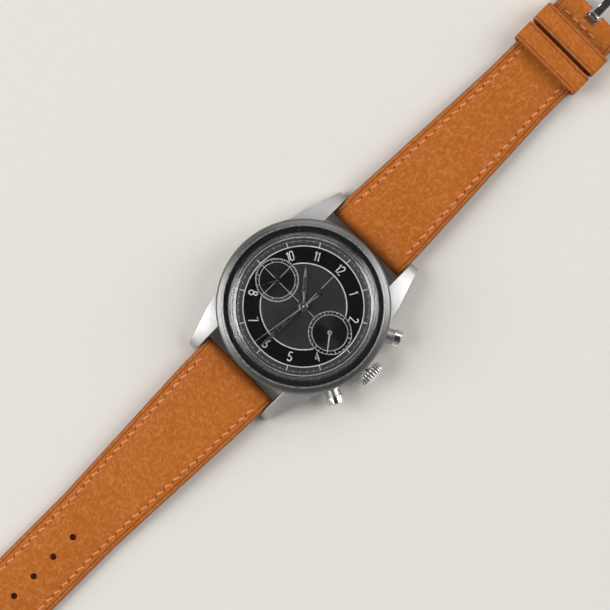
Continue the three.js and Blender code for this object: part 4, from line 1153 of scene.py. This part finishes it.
def make_strap(name, node, body, material, part, cuts):
    """Sections across the strap from its fold at the lug to its end, then its holes."""
    turn = part["turn"]
    start = LUG_BAR_Y - LUG_FOLD_R
    end = part["tip"][-1][0]
    run = [start + LUG_FOLD_R * (1 - math.cos(t)) for t in np.linspace(0.12, math.pi / 2, 12)]
    run += list(np.linspace(LUG_BAR_Y + 0.4, end - 2.2, 240))
    run += [end - 2.2 + 2.15 * math.sin(t) for t in np.linspace(0.08, math.pi / 2, 20)]
    rows = []
    marks = {"edge": [], "crease": [], "shade": []}
    for y in run:
        half = min(half_width(y), np.interp(y, *zip(*part["tip"])))
        section = strap_section(y, half, part)
        rows.append([(x * turn, y * turn, z) for x, z, _ in section])
        middle = sum(strap_levels(y, part)) / 2
        # Painted shade: darker by the fold at the lug, and on the underside
        fold_shade = 0.55 * bell(y - start, 1.5)
        for _, z, d in section:
            creased = z > middle and d > 0
            marks["edge"].append(1.0 if d < 0.2 else 0.35 * edge_share(d, 0.5))
            marks["crease"].append(0.85 * bell(d - CREASE_INSET, 0.085) if creased else 0.0)
            marks["shade"].append(min(1.0, fold_shade + (0.0 if z > middle else 0.35)))
    points, faces = loft(rows)
    flipped = [tuple(reversed(face)) for face in faces]
    strap = piece(name, points, flipped, body, LEATHER, material, [node], sharp=60)
    for key, values in marks.items():
        mark(strap, key, values)
    combine(strap, [tool(*cut) for cut in cuts], sharp=60)


def bore(radius, half_length, y, z):
    """What a bar across the strap leaves free."""
    return laid(cylinder(radius, -half_length, half_length), y=y, z=z)


def make_straps():
    slot = prism([(-1.4, 87.6), (1.4, 87.6), (1.4, 92.4), (-1.4, 92.4)], -1, 6)
    reach = 12
    bars = ((LUG_BAR_Y, LUG_BAR_Z), (BUCKLE_BAR_Y, BUCKLE_BAR_Z))
    cuts = [bore(STRAP_BORE_R, reach, y, z) for y, z in bars] + [slot]
    make_strap("strap_buckle_part", "strap_buckle_side", "strap_12", LEATHER_LONG, BUCKLE_PART, cuts)
    holes = [bore(STRAP_BORE_R, reach, -LUG_BAR_Y, LUG_BAR_Z)]
    for i in range(HOLE_COUNT):
        holes.append(shifted(cylinder(HOLE_R, -1, 6, 40), 0, -(HOLE_FIRST_Y + i * HOLE_PITCH)))
    make_strap("strap_tail_part", "strap_tail_side", "strap_6", LEATHER_PEBBLE, TAIL_PART, holes)


make_straps()


def thread(a, b, lift=0.2, radius=0.25):
    """One stitch from a to b: a twisted thread that rises out of one hole and dives into the next."""
    length = np.linalg.norm(b - a)
    along = (b - a) / length
    up = np.array([0, 0, 1.0])
    side = np.cross(up, along)
    rings = []
    for k in range(13):
        t = k / 12
        arch = math.sin(math.pi * t) ** 0.5
        centre = a + along * length * t + up * (lift * arch - 0.16)
        size = radius * (0.45 + 0.55 * math.sin(math.pi * t) ** 0.35)
        ring = []
        for j in range(10):
            phi = j * TAU / 10
            ply = 1 + 0.14 * math.cos(2 * (phi - 5.0 * t))
            ring.append(centre + size * ply * (side * math.cos(phi) * 1.05 + up * math.sin(phi) * 0.8))
        rings.append(ring)
    return loft(rings)


def slit(centre, direction, level, length=0.95, width=0.2):
    """A needle slit as a dark patch that lies flush in the leather: painted shade of the hole."""
    d = direction / np.linalg.norm(direction)
    n = np.array([-d[1], d[0]])
    outline = []
    for k in range(12):
        phi = k * TAU / 12
        outline.append(centre + d * math.cos(phi) * length / 2 + n * math.sin(phi) * width / 2)
    return prism(outline, level - 0.12, level + 0.035)


def stitch_run(path, part, lean, rng):
    """Stitches that all lean one way along a path of (x, y) points, with a slit between each two."""

    def top_at(x, y):
        y = abs(y)
        return strap_levels(y, part)[1] - relief(half_width(y) - abs(x), y, part)

    threads, slits = [], []
    path = np.asarray(path, float)
    steps = np.concatenate([[0], np.cumsum(np.linalg.norm(np.diff(path, axis=0), axis=1))])
    last = None
    for i in range(int(steps[-1] // STITCH_PITCH)):
        ends = []
        for share in (0.14, 0.88):
            s = (i + share) * STITCH_PITCH
            ends.append(np.array([np.interp(s, steps, path[:, 0]), np.interp(s, steps, path[:, 1])]))
        along = (ends[1] - ends[0]) / np.linalg.norm(ends[1] - ends[0])
        side = np.array([-along[1], along[0]]) * lean
        jitter = rng.uniform(-0.04, 0.04)
        a = ends[0] - side * (0.24 + jitter)
        b = ends[1] + side * (0.24 - jitter)
        threads.append(thread(np.array([*a, top_at(*a)]), np.array([*b, top_at(*b)])))
        if last is not None:
            middle = (last + a) / 2
            slits.append(slit(middle, a - last, top_at(*middle)))
        last = b
    return threads, slits


def make_stitches():
    rng = random.Random(SEED)
    for name, body, part, end in (
        ("buckle_part", "strap_12", BUCKLE_PART, 78.5),
        ("tail_part", "strap_6", TAIL_PART, 124.0),
    ):
        turn = part["turn"]
        runs = []
        for side in (1, -1):
            ys = np.linspace(STITCH_START, end, 60)
            runs.append(([(side * turn * (half_width(y) - STITCH_INSET), y * turn) for y in ys], -1))
        if part is BUCKLE_PART:
            runs.append(([(x, 85.9) for x in np.linspace(-5.9, 5.9, 20)], 1))
        threads, slits = [], []
        for path, lean in runs:
            more_threads, more_slits = stitch_run(path, part, lean, rng)
            threads += more_threads
            slits += more_slits
        piece(f"stitches_{name}", *merged(*threads), body, LEATHER, THREAD, sharp=80)
        piece(f"slits_{name}", *merged(*slits), body, LEATHER, SLIT, sharp=30)


make_stitches()


def dense(path, pitch, closed=False):
    """A path with extra points, no further apart than about a pitch."""
    ends = np.roll(path, -1, 0) if closed else path[1:]
    out = []
    for a, b in zip(path, ends):
        count = max(1, int(np.linalg.norm(b - a) / pitch))
        out += [a + (b - a) * k / count for k in range(count)]
    return np.array(out if closed else out + [path[-1]])


def make_keeper(name, node, body):
    """A loop of leather with two pressed lines, sewn closed under the strap."""
    low, high = cad(node)
    middle = (low[1] + high[1]) / 2
    outer, inner = 9.02, 8.2
    floor, roof = 0.03, 6.08
    line = 0.68
    corners = [(-outer, floor, 1.2), (outer, floor, 1.2), (outer, roof, 1.5), (-outer, roof, 1.5)]
    path = dense(rounded(corners, 14), 0.35, closed=True)
    ahead, back = np.roll(path, -1, 0), np.roll(path, 1, 0)
    along = (ahead - back) / np.linalg.norm(ahead - back, axis=1)[:, None]
    inward = np.column_stack([-along[:, 1], along[:, 0]])
    half = KEEPER_WIDTH / 2 - 0.03
    border = np.linspace(-half, -half + 1.3, 12)
    far_border = np.linspace(half - 1.3, half, 12)
    across = np.concatenate([border, np.linspace(-half + 1.6, half - 1.6, 6), far_border])
    rows = []
    marks = {"edge": [], "crease": [], "shade": []}
    for p, n in zip(path, inward):
        on_top = p[1] > 5.5
        bow = 0.12 * (p[0] / outer) ** 2 if on_top else 0.0
        row = []
        for v in across:
            d = half - abs(v)
            q = p + n * (0.1 * bell(d - line, 0.12) + 0.22 * edge_share(d, 0.35) ** 2 + bow)
            row.append((q[0], middle + v, q[1]))
            marks["edge"].append(1.0 if d < 0.02 else 0.4 * edge_share(d, 0.45))
            marks["crease"].append(0.75 * bell(d - line, 0.11))
            marks["shade"].append(0.0)
        for v in across[::-1]:
            d = half - abs(v)
            q = p + n * (outer - inner - 0.15 * edge_share(d, 0.3) ** 2)
            row.append((q[0], middle + v, q[1]))
            marks["edge"].append(1.0 if d < 0.3 else 0.4 * edge_share(d, 0.45))
            marks["crease"].append(0.0)
            # Painted shade on the inside of the loop
            marks["shade"].append(0.6)
        rows.append(row)
    faces = grid_faces(len(rows), 2 * len(across), close_rows=True)
    loop = piece(name, np.concatenate(rows), faces, body, LEATHER, LEATHER_CROSS, [node], sharp=60)
    for key, values in marks.items():
        mark(loop, key, values)


make_keeper("keeper_loop_fixed", "keeper_fixed", "strap_12")
make_keeper("keeper_loop_free", "keeper_free", "keeper_free")

# ---- Buckle ----


def sweep(path, section):
    """A bar along a level path of (x, y) points with a closed (side, z) section, capped."""
    along = np.vstack([path[1:], path[-1:]]) - np.vstack([path[:1], path[:-1]])
    along /= np.linalg.norm(along, axis=1)[:, None]
    side = np.column_stack([-along[:, 1], along[:, 0]])
    return loft([[(*(q + s * a), z) for a, z in section] for q, s in zip(path, side)])


def make_bow():
    """The buckle's frame: a rounded bar bent to a U, open at the spring bar."""
    low, high = cad("buckle_frame")
    middle = 9.43
    near, far = low[1] + 0.05, high[1] - 1.08
    path = rounded([(-middle, near, 0), (-middle, far, 2.1), (middle, far, 2.1), (middle, near, 0)], 12)
    z0, z1 = low[2] + 0.02, high[2] - 0.02
    section = rounded([(-0.93, z0, 0.45), (0.93, z0, 0.45), (0.93, z1, 0.75), (-0.93, z1, 0.75)], 5)
    bar = sweep(dense(path, 0.5), section)
    bow = piece("buckle_bow", *bar, "buckle", STEEL, POLISHED, ["buckle_frame"])
    combine(bow, [tool(*bore(0.46, 9.9, BUCKLE_BAR_Y, BUCKLE_BAR_Z))])


def make_tongue():
    """The buckle's tongue: a loop around the spring bar and a rounded pin."""
    ring = rounded([(0.81, -1.05, 0.03), (1.24, -1.05, 0.12), (1.24, 1.05, 0.12), (0.81, 1.05, 0.03)])
    loop = laid(lathe(ring, 48), y=BUCKLE_BAR_Y, z=BUCKLE_BAR_Z)
    shape = through(
        # y, middle z, half thickness, half width
        [
            (90.2, 2.95, 0.27, 0.98),
            (91.5, 3.12, 0.3, 0.98),
            (93.2, 3.44, 0.31, 0.97),
            (97.0, 3.5, 0.32, 0.9),
            (100.6, 3.5, 0.3, 0.8),
            (101.6, 3.45, 0.25, 0.66),
            (101.92, 3.4, 0.14, 0.42),
        ],
        7,
    )
    rows = []
    for y, z, thick, half in shape:
        low, high = z - thick, z + thick
        outline = rounded([(-half, low, 0.1), (half, low, 0.1), (half, high, 0.3), (-half, high, 0.3)], 4)
        rows.append([(x, y, up) for x, up in reversed(outline)])
    pin = merged(loop, loft(rows))
    piece("buckle_pin", *pin, "buckle_tongue", STEEL, POLISHED, ["buckle_tongue"])


make_bow()
make_tongue()

# ---- CAD nodes that stay as they are ----

CARRIED = {
    "case_steel": SATIN,
    "polished_steel": POLISHED,
    "movement_steel": WORK_STEEL,
    "gilt_brass": GILT,
    "nickel_brass": NICKEL,
    "gasket_rubber": RUBBER,
    "black_dial": RING_BLACK,
}


def finish_carried_nodes():
    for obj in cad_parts.values():
        if obj.hide_render:
            continue
        slot = obj.data.materials[0].name
        obj.data.materials.clear()
        obj.data.materials.append(CARRIED[slot])
        smooth(obj.data, 30)


finish_carried_nodes()

# ---- Stage, light and camera ----


def make_floor():
    mesh = bpy.data.meshes.new("floor")
    size, level = 3.0, -0.00005
    corners = [(-size, -size), (size, -size), (size, size), (-size, size)]
    mesh.from_pydata([(x, y, level) for x, y in corners], [], [(0, 1, 2, 3)])
    floor = bpy.data.objects.new("floor", mesh)
    bpy.context.scene.collection.objects.link(floor)
    paint = Paint("floor_paper", Roughness=0.9)
    fibre = paint.noise(0.4)
    mesh.materials.append(paint.feed(Base_Color=paint.mix(fibre, rgb(224, 220, 213), rgb(228, 224, 218))))


make_floor()

# The picture's right and up, seen from above with 12 o'clock to the upper right
RIGHT = Vector((1, 1, 0)).normalized()
UP = Vector((-1, 1, 0)).normalized()


def lamp(name, right, up, height, width, length, power):
    """A soft box that faces the watch, placed by the picture's right and up, in metres."""
    data = bpy.data.lights.new(name, "AREA")
    data.shape = "RECTANGLE"
    data.size, data.size_y = width, length
    data.energy = power
    obj = bpy.data.objects.new(name, data)
    obj.location = RIGHT * right + UP * up + Vector((0, 0, height))
    obj.rotation_mode = "QUATERNION"
    obj.rotation_quaternion = (-obj.location).to_track_quat("-Z", "Y")
    bpy.context.scene.collection.objects.link(obj)


lamp("left_box", -1.15, 0.0, 0.9, 0.9, 1.3, 16.5)
lamp("right_box", 1.1, 0.25, 0.95, 0.8, 1.3, 12.5)
lamp("top_box", 0.1, 1.3, 1.1, 1.2, 0.7, 4)


def make_world():
    """A room that is dim overhead and lighter towards the walls."""
    world = bpy.data.worlds.new("studio")
    bpy.context.scene.world = world
    world.use_nodes = True
    tree = world.node_tree
    source = tree.nodes.new("ShaderNodeTexCoord")
    parts = tree.nodes.new("ShaderNodeSeparateXYZ")
    fade = tree.nodes.new("ShaderNodeMapRange")
    for name, value in (("From Min", 0.2), ("From Max", 0.95), ("To Min", 0.5), ("To Max", 0.05)):
        fade.inputs[name].default_value = value
    back = tree.nodes["Background"]
    back.inputs["Color"].default_value = (1.0, 0.99, 0.97, 1)
    tree.links.new(source.outputs["Generated"], parts.inputs["Vector"])
    tree.links.new(parts.outputs["Z"], fade.inputs["Value"])
    tree.links.new(fade.outputs["Result"], back.inputs["Strength"])


make_world()

CAMERA_HEIGHT = 0.7
VIEW_WIDTH = 0.132
SENSOR = 36.0
OFF_CENTRE = 0.00046


def make_camera():
    data = bpy.data.cameras.new("camera")
    data.sensor_width = SENSOR
    data.lens = SENSOR * CAMERA_HEIGHT / VIEW_WIDTH
    data.clip_start, data.clip_end = 0.01, 10.0
    camera = bpy.data.objects.new("camera", data)
    camera.matrix_world = Matrix(
        (
            (RIGHT.x, UP.x, 0, 0),
            (RIGHT.y, UP.y, 0, OFF_CENTRE),
            (0, 0, 1, CAMERA_HEIGHT + DIAL_TOP * MM),
            (0, 0, 0, 1),
        )
    )
    bpy.context.scene.collection.objects.link(camera)
    bpy.context.scene.camera = camera


make_camera()
bpy.context.scene.view_settings.view_transform = "Standard"
